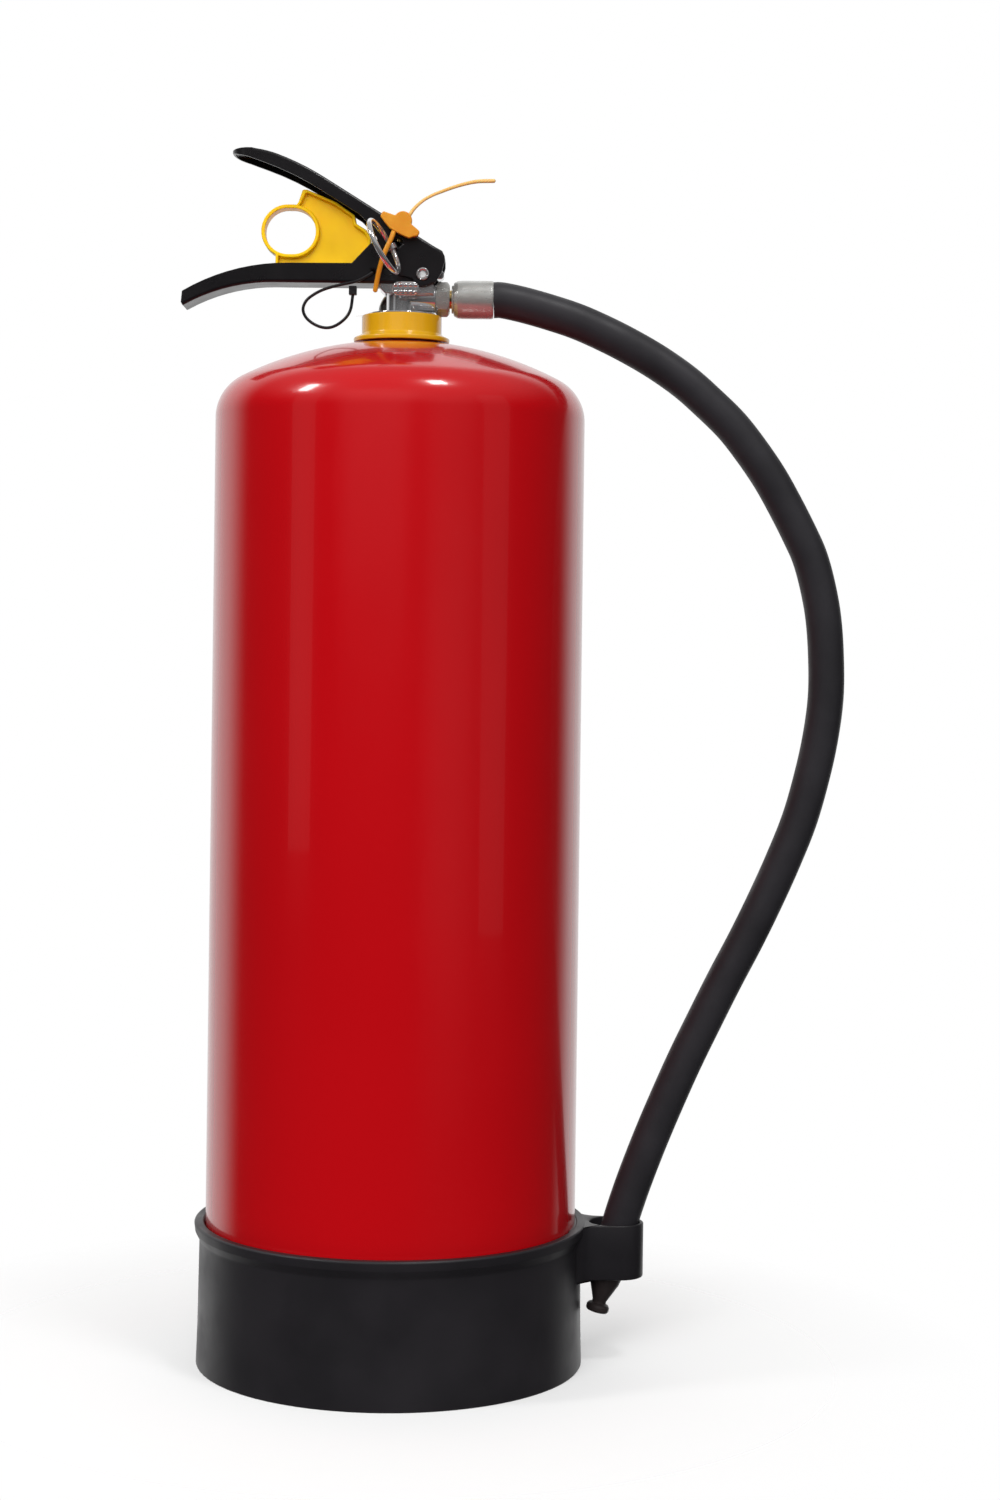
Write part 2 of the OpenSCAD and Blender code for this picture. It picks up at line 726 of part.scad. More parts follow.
module hose_nut() {
    color([0.75, 0.75, 0.76]) difference() {
        translate([nut_x[0], 0, outlet_z]) rotate([0, 90, 0]) rotate(11)
            cylinder(r = nut_corner_r, h = nut_x[1] - nut_x[0], $fn = 6);
        rod_x(outlet_z, outlet_thread_r, nut_x[0] - 1, nut_x[1] - 1);
        rod_x(outlet_z, 4.5, nut_x[0], nut_x[1] + 1);
    }
}

module outlet_washer() {
    color([0.1, 0.1, 0.1]) difference() {
        rod_x(outlet_z, outlet_thread_r, outlet_end, outlet_end + 1);
        rod_x(outlet_z, hose_bore_r, outlet_end - 1, outlet_end + 2);
    }
}

module hose_insert() {
    color([0.8, 0.65, 0.35]) difference() {
        union() {
            rod_x(outlet_z, outlet_thread_r, outlet_end + 1, nut_x[1] - 1);
            rod_x(outlet_z, 4.5, nut_x[1] - 1, ferrule_x[0] + 1.5);
            rod_x(outlet_z, insert_r, ferrule_x[0] + 1.5, ferrule_x[1]);
        }
        rod_x(outlet_z, hose_bore_r, outlet_end, ferrule_x[1] + 1);
    }
}

module hose_ferrule() {
    length = ferrule_x[1] - ferrule_x[0];
    color([0.72, 0.72, 0.74]) translate([ferrule_x[0], 0, outlet_z]) rotate([0, 90, 0])
        rotate_extrude() polygon([
            [4.5, 0], [ferrule_r - 1.6, 0], [ferrule_r, 1.8], [ferrule_r, length - 0.5],
            [ferrule_r - 0.4, length], [insert_r, length], [insert_r, 1.5], [4.5, 1.5]]);
}

module hose() {
    color([0.1, 0.1, 0.1]) sweep(hose_route, hose_r, hose_sides, [0, 1, 0]);
}

module nozzle() {
    color([0.09, 0.09, 0.09]) translate(nozzle_tip) rotate([0, nozzle_lean, 0])
        rotate_extrude() polygon([
            [2.6, 0], [5, 0], [5.6, 0.6], [5.6, 3], [5, 3.6], [3.4, 4.2], [3.4, 5.4],
            [7.2, 14.5], [7.9, 18], [8.4, 18.6], [8.4, 29.4], [8, nozzle_len], [2.6, nozzle_len]]);
}

cylinder_shell();
bottom_cap();
neck_boss();
neck_ring();
base_skirt();
skirt_ribs();
hose_holder();
valve_body();
valve_oring();
port_plug();
valve_stem();
stem_orings();
stem_seal();
stem_spring();
dip_tube_adapter();
dip_tube();
powder_charge();
gauge_case();
gauge_bourdon();
gauge_dial();
gauge_needle();
gauge_lens();
gauge_bezel();
carry_handle();
squeeze_lever();
pivot_rivet();
handle_rivet();
safety_pin();
pull_ring();
safety_clip();
tamper_seal();
seal_strand();
seal_tail();
tie_loop();
tie_head();
hose_nut();
outlet_washer();
hose_insert();
hose_ferrule();
hose();
nozzle();
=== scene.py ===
"""Looks of a powder fire extinguisher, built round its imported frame. Metres, +Z up, front at -Y."""
import logging
import math
from dataclasses import dataclass, field
from enum import Enum
from typing import Any, Callable, Optional, Sequence

import bmesh
import bpy
from mathutils import Matrix, Vector


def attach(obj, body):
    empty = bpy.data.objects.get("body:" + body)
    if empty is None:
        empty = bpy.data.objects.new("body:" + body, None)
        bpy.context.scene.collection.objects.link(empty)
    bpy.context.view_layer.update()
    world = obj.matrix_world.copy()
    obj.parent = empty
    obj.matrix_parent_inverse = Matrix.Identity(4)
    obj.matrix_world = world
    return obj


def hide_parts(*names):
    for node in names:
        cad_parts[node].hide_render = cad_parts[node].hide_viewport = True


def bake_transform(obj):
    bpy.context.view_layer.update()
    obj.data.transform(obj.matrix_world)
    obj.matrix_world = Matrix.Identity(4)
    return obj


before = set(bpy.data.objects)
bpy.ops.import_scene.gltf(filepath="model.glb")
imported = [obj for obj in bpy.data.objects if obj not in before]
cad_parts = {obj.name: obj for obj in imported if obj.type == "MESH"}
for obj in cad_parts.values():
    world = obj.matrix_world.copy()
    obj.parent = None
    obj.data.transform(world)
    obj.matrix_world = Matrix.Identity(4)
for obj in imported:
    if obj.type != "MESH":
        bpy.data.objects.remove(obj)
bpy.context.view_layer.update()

log = logging.getLogger("extinguisher")

MM = 0.001
WHITE = (1.0, 1.0, 1.0)
# Metres: scattering depth of plastic, radius of the ring that repeated pieces start from, and
# the distances under which points are merged, slivers dropped and points lie on a cheek.
SCATTER = 0.002
RING_START = 0.0001
MERGE = 1e-6
CAD_MERGE = 3e-6
SLIVER = 1e-7
ON_CHEEK = 2e-5
# Degrees: the angle above which an edge stays sharp on turned, bevelled, moulded and swept
# pieces, and the one under which neighbouring CAD facets are joined.
CREASE = 35.0
BEVEL_CREASE = 45.0
MOULD_CREASE = 50.0
TUBE_CREASE = 60.0
FACET = 0.5
# Parts in the rounding of a sheet's fold, and how much the flats rule the bevels' shading.
FOLD_PARTS = 5
FLAT_WEIGHT = 60
Colour = tuple[float, float, float]
Point2 = tuple[float, float]
Point3 = tuple[float, float, float]
Corner = tuple[float, float, float]
Socket = bpy.types.NodeSocket
Object = bpy.types.Object
Mesh = bpy.types.Mesh
Material = bpy.types.Material
Edge = bmesh.types.BMEdge


# ---- Node trees ----

class Graph:
    """A node tree, with short calls for adding and joining its nodes."""

    def __init__(self, tree: bpy.types.NodeTree) -> None:
        """Takes the tree that the nodes go into."""
        self.tree = tree

    def link(self, source: Socket, target: Socket) -> None:
        """Joins two sockets."""
        self.tree.links.new(source, target)

    def fill(self, socket: Socket, value: Any) -> None:
        """Joins an input to a socket, or sets it to a plain value."""
        if isinstance(value, Socket):
            self.link(value, socket)
        else:
            socket.default_value = value

    def node(self, kind: str, settings: Optional[dict[str, Any]] = None, **inputs: Any
             ) -> bpy.types.Node:
        """Adds a node.

        Args:
            kind: The node's type name.
            settings: Values for its own settings.
            inputs: Values for its inputs, with underscores for the spaces in their names.

        Returns:
            The new node.
        """
        made = self.tree.nodes.new(kind)
        for key, value in (settings or {}).items():
            setattr(made, key, value)
        for key, value in inputs.items():
            self.fill(made.inputs[key.replace("_", " ")], value)
        return made

    def spread(self, value: Socket, low: float, high: float, new_low: float,
               new_high: float, curve: str = "LINEAR") -> Socket:
        """Maps a value from one range to another, held inside it."""
        return self.node("ShaderNodeMapRange", {"interpolation_type": curve}, Value=value,
                         From_Min=low, From_Max=high, To_Min=new_low, To_Max=new_high
                         ).outputs["Result"]

    def maths(self, operation: str, a: Any, b: Any = 0.0) -> Socket:
        """One arithmetic step on two values or sockets."""
        made = self.node("ShaderNodeMath", {"operation": operation})
        self.fill(made.inputs[0], a)
        self.fill(made.inputs[1], b)
        return made.outputs["Value"]

    def vector(self, operation: str, a: Socket, b: Point3 = (0.0, 0.0, 0.0)) -> Socket:
        """The value of one step on a vector, such as its length or a dot product."""
        made = self.node("ShaderNodeVectorMath", {"operation": operation})
        self.fill(made.inputs[0], a)
        self.fill(made.inputs[1], b)
        return made.outputs["Value"]


# ---- Finishes ----

class Pattern(Enum):
    """How the fine grain of a finish lies on its surface."""

    MOTTLED = "mottled"
    PITTED = "pitted"


@dataclass(frozen=True)
class Finish:
    """A procedural surface: two colours mixed by a pattern, varied roughness and a fine grain.

    Scales are pattern cells per metre, and heights are in millimetres.
    """

    name: str
    colour: Colour
    shade: Colour
    shade_scale: float = 25.0
    shade_amount: float = 0.5
    rough: tuple[float, float] = (0.3, 0.4)
    rough_scale: float = 70.0
    grain: float = 0.01
    grain_scale: float = 900.0
    wave: float = 0.0
    wave_scale: float = 60.0
    stretch: Point3 = (1.0, 1.0, 1.0)
    metallic: float = 0.0
    specular: float = 0.5
    coat: float = 0.0
    coat_rough: float = 0.03
    subsurface: float = 0.0
    pattern: Pattern = Pattern.MOTTLED

    def build(self) -> Material:
        """Makes the material.

        Returns:
            The new material, with its node tree in place.
        """
        shader = Shader(self.name)
        where = shader.place(self.stretch)
        blotch = shader.noise(where, self.shade_scale, 4.0)
        amount = shader.spread(blotch, 0.35, 0.65, 0.0, self.shade_amount)
        tone = shader.mix(amount, self.colour, self.shade)
        smear = shader.noise(where, self.rough_scale, 5.0)
        gloss = shader.spread(smear, 0.3, 0.7, self.rough[0], self.rough[1])
        if self.pattern is Pattern.PITTED:
            fine = shader.cells(where, self.grain_scale)
        else:
            fine = shader.noise(where, self.grain_scale, 2.0)
        bump = shader.bump(fine, self.grain)
        if self.wave:
            bump = shader.bump(shader.noise(where, self.wave_scale, 1.0), self.wave, bump)
        surface = shader.surface
        shader.link(tone, surface.inputs["Base Color"])
        shader.link(gloss, surface.inputs["Roughness"])
        shader.link(bump, surface.inputs["Normal"])
        for key, value in (("Metallic", self.metallic), ("Specular IOR Level", self.specular),
                           ("Coat Weight", self.coat), ("Coat Roughness", self.coat_rough),
                           ("Subsurface Weight", self.subsurface), ("Subsurface Scale", SCATTER)):
            surface.inputs[key].default_value = value
        return shader.material


class Shader(Graph):
    """A material's node tree, with short calls for the nodes that the finishes share."""

    def __init__(self, name: str) -> None:
        """Starts a material that holds one Principled shader."""
        self.material = bpy.data.materials.new(name)
        self.material.use_nodes = True
        super().__init__(self.material.node_tree)
        self.surface = self.tree.nodes["Principled BSDF"]

    def place(self, stretch: Point3 = (1.0, 1.0, 1.0), centre: Point3 = (0.0, 0.0, 0.0)) -> Socket:
        """Object coordinates, centred on a point and scaled on each axis."""
        shift = tuple(-c * s for c, s in zip(centre, stretch))
        where = self.node("ShaderNodeTexCoord").outputs["Object"]
        return self.node("ShaderNodeMapping", Vector=where, Scale=stretch,
                         Location=shift).outputs["Vector"]

    def noise(self, where: Socket, scale: float, detail: float) -> Socket:
        """Soft noise from 0 to 1."""
        return self.node("ShaderNodeTexNoise", Vector=where, Scale=scale,
                         Detail=detail).outputs["Fac"]

    def cells(self, where: Socket, scale: float) -> Socket:
        """Distance to the nearest of many scattered points."""
        return self.node("ShaderNodeTexVoronoi", Vector=where, Scale=scale).outputs["Distance"]

    def mix(self, amount: Socket, a: Any, b: Any) -> Socket:
        """Mixes two colours, given as numbers or sockets."""
        made = self.node("ShaderNodeMix", {"data_type": "RGBA"})
        for index, value in ((0, amount), (6, a), (7, b)):
            self.fill(made.inputs[index], (*value, 1.0) if isinstance(value, tuple) else value)
        return made.outputs[2]

    def bump(self, height: Socket, depth: float,
             under: Optional[Socket] = None) -> Socket:
        """A bump of a depth in millimetres, on top of another bump if one is given."""
        made = self.node("ShaderNodeBump", Height=height, Strength=1.0, Distance=depth * MM)
        if under is not None:
            self.link(under, made.inputs["Normal"])
        return made.outputs["Normal"]


RED_PAINT = Finish("red_paint", (0.485, 0.0020, 0.0050), (0.46, 0.0018, 0.0045), 9, 0.8,
                   (0.17, 0.22), 14, 0.0012, 1300, wave=0.006, wave_scale=85, specular=0.35,
                   coat=0.55, coat_rough=0.035)
INSIDE_STEEL = Finish("bare_steel", (0.42, 0.42, 0.43), (0.34, 0.33, 0.32), 40, 0.7,
                      (0.3, 0.45), 90, 0.01, 1500, metallic=1.0)
COLLAR_YELLOW = Finish("yellow_collar", (0.65, 0.35, 0.006), (0.59, 0.30, 0.005), 45, 0.7,
                       (0.18, 0.26), 60, 0.004, 1500, wave=0.01, wave_scale=120, coat=0.4,
                       coat_rough=0.06)
SKIRT_PLASTIC = Finish("skirt_plastic", (0.0125, 0.0115, 0.0135), (0.019, 0.017, 0.020), 22, 0.8,
                       (0.36, 0.5), 45, 0.010, 1700, wave=0.03, wave_scale=40, specular=0.42,
                       pattern=Pattern.PITTED)
CHROME = Finish("valve_chrome", (0.80, 0.80, 0.81), (0.66, 0.65, 0.66), 120, 0.5,
                (0.05, 0.14), 150, 0.006, 700, wave=0.02, wave_scale=170, metallic=0.88)
SEAL_RUBBER = Finish("seal_rubber", (0.012, 0.012, 0.012), (0.022, 0.021, 0.02), 90, 0.6,
                     (0.5, 0.65), 120, 0.01, 1800)
STEM_BRASS = Finish("stem_brass", (0.72, 0.52, 0.22), (0.60, 0.40, 0.15), 90, 0.6, (0.2, 0.34),
                    200, 0.006, 1600, stretch=(1, 1, 0.1), metallic=1.0)
SPRING_STEEL = Finish("spring_steel", (0.5, 0.5, 0.51), (0.36, 0.36, 0.37), 200, 0.6,
                      (0.22, 0.34), 200, 0.004, 1800, metallic=1.0)
INNER_PLASTIC = Finish("inner_plastic", (0.78, 0.76, 0.70), (0.70, 0.67, 0.60), 40, 0.6,
                       (0.35, 0.5), 80, 0.01, 1200, subsurface=0.1)
POWDER = Finish("powder", (0.82, 0.78, 0.62), (0.72, 0.68, 0.52), 130, 0.8, (0.85, 0.95), 100,
                0.25, 900, specular=0.2, pattern=Pattern.PITTED)
GAUGE_BRASS = Finish("gauge_brass", (0.70, 0.69, 0.66), (0.60, 0.58, 0.53), 120, 0.6,
                     (0.14, 0.24), 220, 0.004, 1700, metallic=1.0)
BLACK_COAT = Finish("black_coat", (0.0065, 0.0060, 0.0068), (0.010, 0.009, 0.010), 60, 0.7,
                    (0.26, 0.34), 90, 0.001, 1500, wave=0.002, wave_scale=120, coat=0.12,
                    coat_rough=0.08, specular=0.32)
RIVET_CHROME = Finish("rivet_chrome", (0.72, 0.72, 0.73), (0.52, 0.51, 0.50), 300, 0.6,
                      (0.12, 0.24), 260, 0.006, 1600, metallic=0.85)
RING_CHROME = Finish("ring_chrome", (0.86, 0.86, 0.87), (0.74, 0.74, 0.75), 150, 0.5,
                     (0.03, 0.08), 200, 0.002, 900, metallic=0.9)
CLIP_PLASTIC = Finish("clip_plastic", (0.92, 0.58, 0.003), (0.86, 0.49, 0.003), 55, 0.8,
                      (0.28, 0.38), 90, 0.0015, 1600, wave=0.004, wave_scale=130,
                      subsurface=0.12, specular=0.5)
SEAL_PLASTIC = Finish("seal_plastic", (0.68, 0.29, 0.022), (0.62, 0.23, 0.014), 180, 0.7,
                      (0.3, 0.42), 200, 0.002, 1400, wave=0.004, wave_scale=200, subsurface=0.25)
TAIL_PLASTIC = Finish("tail_plastic", (0.80, 0.50, 0.17), (0.74, 0.43, 0.12), 120, 0.7,
                      (0.32, 0.42), 120, 0.002, 1400, subsurface=0.25)
TIE_NYLON = Finish("tie_nylon", (0.008, 0.008, 0.009), (0.014, 0.014, 0.015), 300, 0.6,
                   (0.3, 0.42), 300, 0.006, 2000)
ZINC_PLATE = Finish("zinc_plate", (0.60, 0.60, 0.58), (0.46, 0.45, 0.42), 180, 0.8,
                    (0.20, 0.36), 260, 0.012, 900, wave=0.012, wave_scale=300,
                    stretch=(0.35, 1, 1), metallic=0.72)
HOSE_RUBBER = Finish("hose_rubber", (0.017, 0.016, 0.0185), (0.025, 0.0235, 0.027), 35, 0.9,
                     (0.42, 0.58), 60, 0.020, 1100, wave=0.05, wave_scale=190, specular=0.4)
NOZZLE_PLASTIC = Finish("nozzle_plastic", (0.020, 0.015, 0.015), (0.030, 0.023, 0.023), 90, 0.7,
                        (0.38, 0.5), 120, 0.012, 1600)
NEEDLE_BLACK = Finish("needle_black", (0.01, 0.01, 0.01), (0.02, 0.02, 0.02), 400, 0.5,
                      (0.4, 0.5), 300, 0.004, 2000)
MARK_INK = Finish("mark_ink", (0.015, 0.015, 0.017), (0.03, 0.03, 0.03), 900, 0.5, (0.5, 0.6),
                  900, 0.002, 2000)


@dataclass(frozen=True)
class DialFace:
    """Printed gauge face: white with a green band between two red ones."""

    name: str = "dial_face"
    centre: Point3 = (0.0, 0.0255, 0.515)
    band: tuple[float, float] = (0.0062, 0.0090)
    green_half: float = 42.0
    red_half: float = 105.0

    def build(self) -> Material:
        """Makes the material from the angle and radius round the dial's centre."""
        shader = Shader(self.name)
        where = shader.place(centre=self.centre)
        split = shader.node("ShaderNodeSeparateXYZ", Vector=where)
        x, z = split.outputs["X"], split.outputs["Z"]
        angle = shader.maths("ABSOLUTE", shader.maths("ARCTAN2", x, z))
        radius = shader.maths("SQRT", shader.maths(
            "ADD", shader.maths("POWER", x, 2.0), shader.maths("POWER", z, 2.0)))
        in_band = shader.maths("MULTIPLY", shader.maths("GREATER_THAN", radius, self.band[0]),
                               shader.maths("LESS_THAN", radius, self.band[1]))
        green = shader.maths("LESS_THAN", angle, math.radians(self.green_half))
        coloured = shader.maths("MULTIPLY", in_band,
                                shader.maths("LESS_THAN", angle, math.radians(self.red_half)))
        paper = shader.mix(shader.noise(where, 900.0, 3.0), (0.86, 0.86, 0.84), (0.80, 0.80, 0.77))
        band = shader.mix(green, (0.62, 0.02, 0.02), (0.02, 0.33, 0.07))
        shader.link(shader.mix(coloured, paper, band), shader.surface.inputs["Base Color"])
        shader.link(shader.spread(shader.noise(where, 400.0, 2.0), 0.3, 0.7, 0.4, 0.5),
                    shader.surface.inputs["Roughness"])
        shader.link(shader.bump(shader.noise(where, 2500.0, 2.0), 0.003),
                    shader.surface.inputs["Normal"])
        return shader.material


@dataclass(frozen=True)
class GaugeGlass:
    """Clear polished window of the gauge, with a trace of haze."""

    name: str = "gauge_glass"

    def build(self) -> Material:
        """Makes the glass material."""
        shader = Shader(self.name)
        where = shader.place()
        haze = shader.spread(shader.noise(where, 260.0, 4.0), 0.4, 0.8, 0.0, 0.05)
        shader.link(haze, shader.surface.inputs["Roughness"])
        tone = shader.mix(shader.noise(where, 120.0, 2.0), (0.96, 0.98, 0.98), (1.0, 1.0, 1.0))
        shader.link(tone, shader.surface.inputs["Base Color"])
        shader.surface.inputs["Transmission Weight"].default_value = 1.0
        shader.surface.inputs["IOR"].default_value = 1.49
        return shader.material


class Paintbox:
    """Makes each finish once and hands it out by the finish itself."""

    def __init__(self) -> None:
        """Starts empty."""
        self.made: dict[str, Material] = {}

    def get(self, finish: Any) -> Material:
        """The material of a finish, made at its first use."""
        if finish.name not in self.made:
            self.made[finish.name] = finish.build()
        return self.made[finish.name]


PAINTS = Paintbox()


# ---- Mesh work ----

def dress(obj: Object, finish: Any) -> Object:
    """Gives an object one finish on all its faces."""
    obj.data.materials.clear()
    obj.data.materials.append(PAINTS.get(finish))
    return obj


def settle(piece: Object, finish: Any, body: str, stands_for: Sequence[str] = ()) -> Object:
    """Dresses a finished piece, ties it to its body and hides the nodes that it stands for.

    Args:
        piece: The piece, in place.
        finish: Its finish.
        body: The CAD body that it rides on.
        stands_for: CAD nodes that it replaces.

    Returns:
        The same piece.
    """
    dress(piece, finish)
    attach(piece, body)
    if stands_for:
        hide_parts(*stands_for)
    log.info("%s: %d faces", piece.name, len(piece.data.polygons))
    return piece


def finish_mesh(name: str, mesh: Mesh, crease: float = CREASE) -> Object:
    """Merges doubles, turns faces outwards, shades smooth up to a crease angle and links it.

    Args:
        name: The object's name.
        mesh: A closed mesh in metres.
        crease: Edges sharper than this many degrees stay sharp.

    Returns:
        The linked object.
    """
    bm = bmesh.new()
    bm.from_mesh(mesh)
    bmesh.ops.remove_doubles(bm, verts=bm.verts, dist=MERGE)
    bmesh.ops.dissolve_degenerate(bm, dist=SLIVER, edges=bm.edges)
    if bm.calc_volume(signed=True) < 0:
        bmesh.ops.reverse_faces(bm, faces=bm.faces)
    bm.to_mesh(mesh)
    bm.free()
    mesh.shade_smooth()
    mesh.set_sharp_from_angle(angle=math.radians(crease))
    obj = bpy.data.objects.new(name, mesh)
    bpy.context.scene.collection.objects.link(obj)
    return obj


def from_points(name: str, points: Sequence[Sequence[float]], faces: Sequence[Sequence[int]],
                crease: float = CREASE) -> Object:
    """An object from points in millimetres and faces."""
    mesh = bpy.data.meshes.new(name)
    mesh.from_pydata([[c * MM for c in p] for p in points], [], faces)
    return finish_mesh(name, mesh, crease)


def evaluated(obj: Object) -> Object:
    """Bakes an object's modifiers into its mesh and removes them."""
    bpy.context.view_layer.update()
    graph = bpy.context.evaluated_depsgraph_get()
    mesh = bpy.data.meshes.new_from_object(obj.evaluated_get(graph))
    obj.modifiers.clear()
    obj.data = mesh
    return obj


def rounded(corners: Sequence[Corner], closed: bool = True, steps: int = 5) -> list[Point2]:
    """A line with rounded corners.

    Args:
        corners: (x, y, radius) of each corner.
        closed: Whether the last corner joins the first.
        steps: Parts in each rounding.

    Returns:
        The points of the line.
    """
    line: list[Point2] = []
    count = len(corners)
    for i, (x, y, radius) in enumerate(corners):
        p = Vector((x, y))
        if radius <= 0 or (not closed and i in (0, count - 1)):
            line.append((x, y))
            continue
        a = Vector(corners[i - 1][:2]) - p
        b = Vector(corners[(i + 1) % count][:2]) - p
        half = a.angle(b) / 2
        cut = min(radius / math.tan(half), 0.49 * min(a.length, b.length))
        radius = cut * math.tan(half)
        middle = p + (a.normalized() + b.normalized()).normalized() * (radius / math.sin(half))
        s, e = p + a.normalized() * cut - middle, p + b.normalized() * cut - middle
        turn = math.atan2(s.x * e.y - s.y * e.x, s.dot(e))
        for k in range(steps + 1):
            line.append(tuple(middle + Matrix.Rotation(turn * k / steps, 2) @ s))
    return line


def arc(centre: Point2, radius: float, start: float, end: float, steps: int) -> list[Point2]:
    """Points of an arc, angles in degrees."""
    angles = [math.radians(start + (end - start) * i / steps) for i in range(steps + 1)]
    return [(centre[0] + radius * math.cos(a), centre[1] + radius * math.sin(a)) for a in angles]


def lathe(name: str, profile: Sequence[Point2], place: Matrix = Matrix.Identity(4),
          segments: int = 96, closed: bool = True, crease: float = CREASE) -> Object:
    """Turns a profile round an axis.

    Args:
        name: The object's name.
        profile: (radius, height) points in millimetres; radius 0 makes a pole.
        place: Where the turned shape goes, in millimetres.
        segments: Parts round the axis.
        closed: Whether the last point joins the first.
        crease: Edges sharper than this many degrees stay sharp.

    Returns:
        The linked object.
    """
    points: list[Vector] = []
    rings: list[list[int]] = []
    for radius, height in profile:
        if radius < 1e-6:
            rings.append([len(points)] * segments)
            points.append(place @ Vector((0, 0, height)))
            continue
        rings.append(list(range(len(points), len(points) + segments)))
        for k in range(segments):
            a = 2 * math.pi * k / segments
            points.append(place @ Vector((radius * math.cos(a), radius * math.sin(a), height)))
    faces = []
    for i in range(len(rings) if closed else len(rings) - 1):
        low, high = rings[i], rings[(i + 1) % len(rings)]
        for k in range(segments):
            n = (k + 1) % segments
            loop = list(dict.fromkeys((low[k], low[n], high[n], high[k])))
            if len(loop) > 2:
                faces.append(loop)
    return from_points(name, points, faces, crease)


def along(axis: str, x: float = 0.0, y: float = 0.0, z: float = 0.0) -> Matrix:
    """A place whose turning axis is X or Y instead of Z."""
    turn = Matrix.Rotation(math.pi / 2, 4, "Y") if axis == "X" else \
        Matrix.Rotation(-math.pi / 2, 4, "X")
    return Matrix.Translation((x, y, z)) @ turn


def skin_faces(loops: int, count: int, ring: bool) -> list[list[int]]:
    """Faces between neighbouring loops of points.

    Args:
        loops: How many loops there are.
        count: Points in each loop.
        ring: Whether the last loop joins the first; without it both ends are capped.

    Returns:
        The faces, as point numbers.
    """
    faces = []
    for i in range(loops if ring else loops - 1):
        low, high = i * count, (i + 1) % loops * count
        for k in range(count):
            n = (k + 1) % count
            faces.append([low + k, low + n, high + n, high + k])
    if not ring:
        faces += [list(range(count - 1, -1, -1)), list(range((loops - 1) * count, loops * count))]
    return faces


def loft(name: str, sections: Sequence[Sequence[Point3]], crease: float = CREASE,
         ring: bool = False) -> Object:
    """Skins closed sections of equal length, in order.

    Args:
        name: The object's name.
        sections: The sections' points in millimetres.
        crease: Edges sharper than this many degrees stay sharp.
        ring: Whether the last section joins the first; without it both ends are capped.

    Returns:
        The linked object.
    """
    points = [p for section in sections for p in section]
    return from_points(name, points, skin_faces(len(sections), len(sections[0]), ring), crease)


def taken(obj: Object) -> Mesh:
    """An object's mesh, with the object itself removed."""
    mesh = obj.data
    bpy.data.objects.remove(obj)
    return mesh


def softened(name: str, node: str, edge: float, segments: int = 3,
             fold: Optional[Callable[[Edge], bool]] = None, fold_edge: float = 0.0,
             sharp: float = 32.0) -> Object:
    """A copy of a CAD node with its sharp edges rounded off.

    Args:
        name: The object's name.
        node: The CAD node.
        edge: Width of the rounding in millimetres.
        segments: Parts in the rounding.
        fold: Picks the edges that get the wide rounding of bent sheet.
        fold_edge: Width of that rounding in millimetres.
        sharp: Edges sharper than this many degrees are rounded.

    Returns:
        The linked object.
    """
    bm = bmesh.new()
    bm.from_mesh(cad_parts[node].data)
    bmesh.ops.remove_doubles(bm, verts=bm.verts, dist=CAD_MERGE)
    bmesh.ops.dissolve_limit(bm, angle_limit=math.radians(FACET), verts=bm.verts, edges=bm.edges)

    def keen() -> list[Edge]:
        """Edges that are sharper than the limit."""
        return [e for e in bm.edges if len(e.link_faces) == 2
                and e.calc_face_angle(0.0) > math.radians(sharp)]

    def cut(edges: list[Edge], width: float, parts: int) -> None:
        """Rounds these edges."""
        bmesh.ops.bevel(bm, geom=edges, offset=width * MM, offset_type="OFFSET", segments=parts,
                        profile=0.5, affect="EDGES", clamp_overlap=False, loop_slide=True)

    if fold is not None:
        cut([e for e in keen() if fold(e)], fold_edge, FOLD_PARTS)
    cut(keen(), edge, segments)
    mesh = bpy.data.meshes.new(name)
    bm.to_mesh(mesh)
    bm.free()
    obj = finish_mesh(name, mesh, BEVEL_CREASE)
    modifier = obj.modifiers.new("flats", "WEIGHTED_NORMAL")
    modifier.keep_sharp = True
    modifier.weight = FLAT_WEIGHT
    return evaluated(obj)


# ---- Geometry Nodes ----

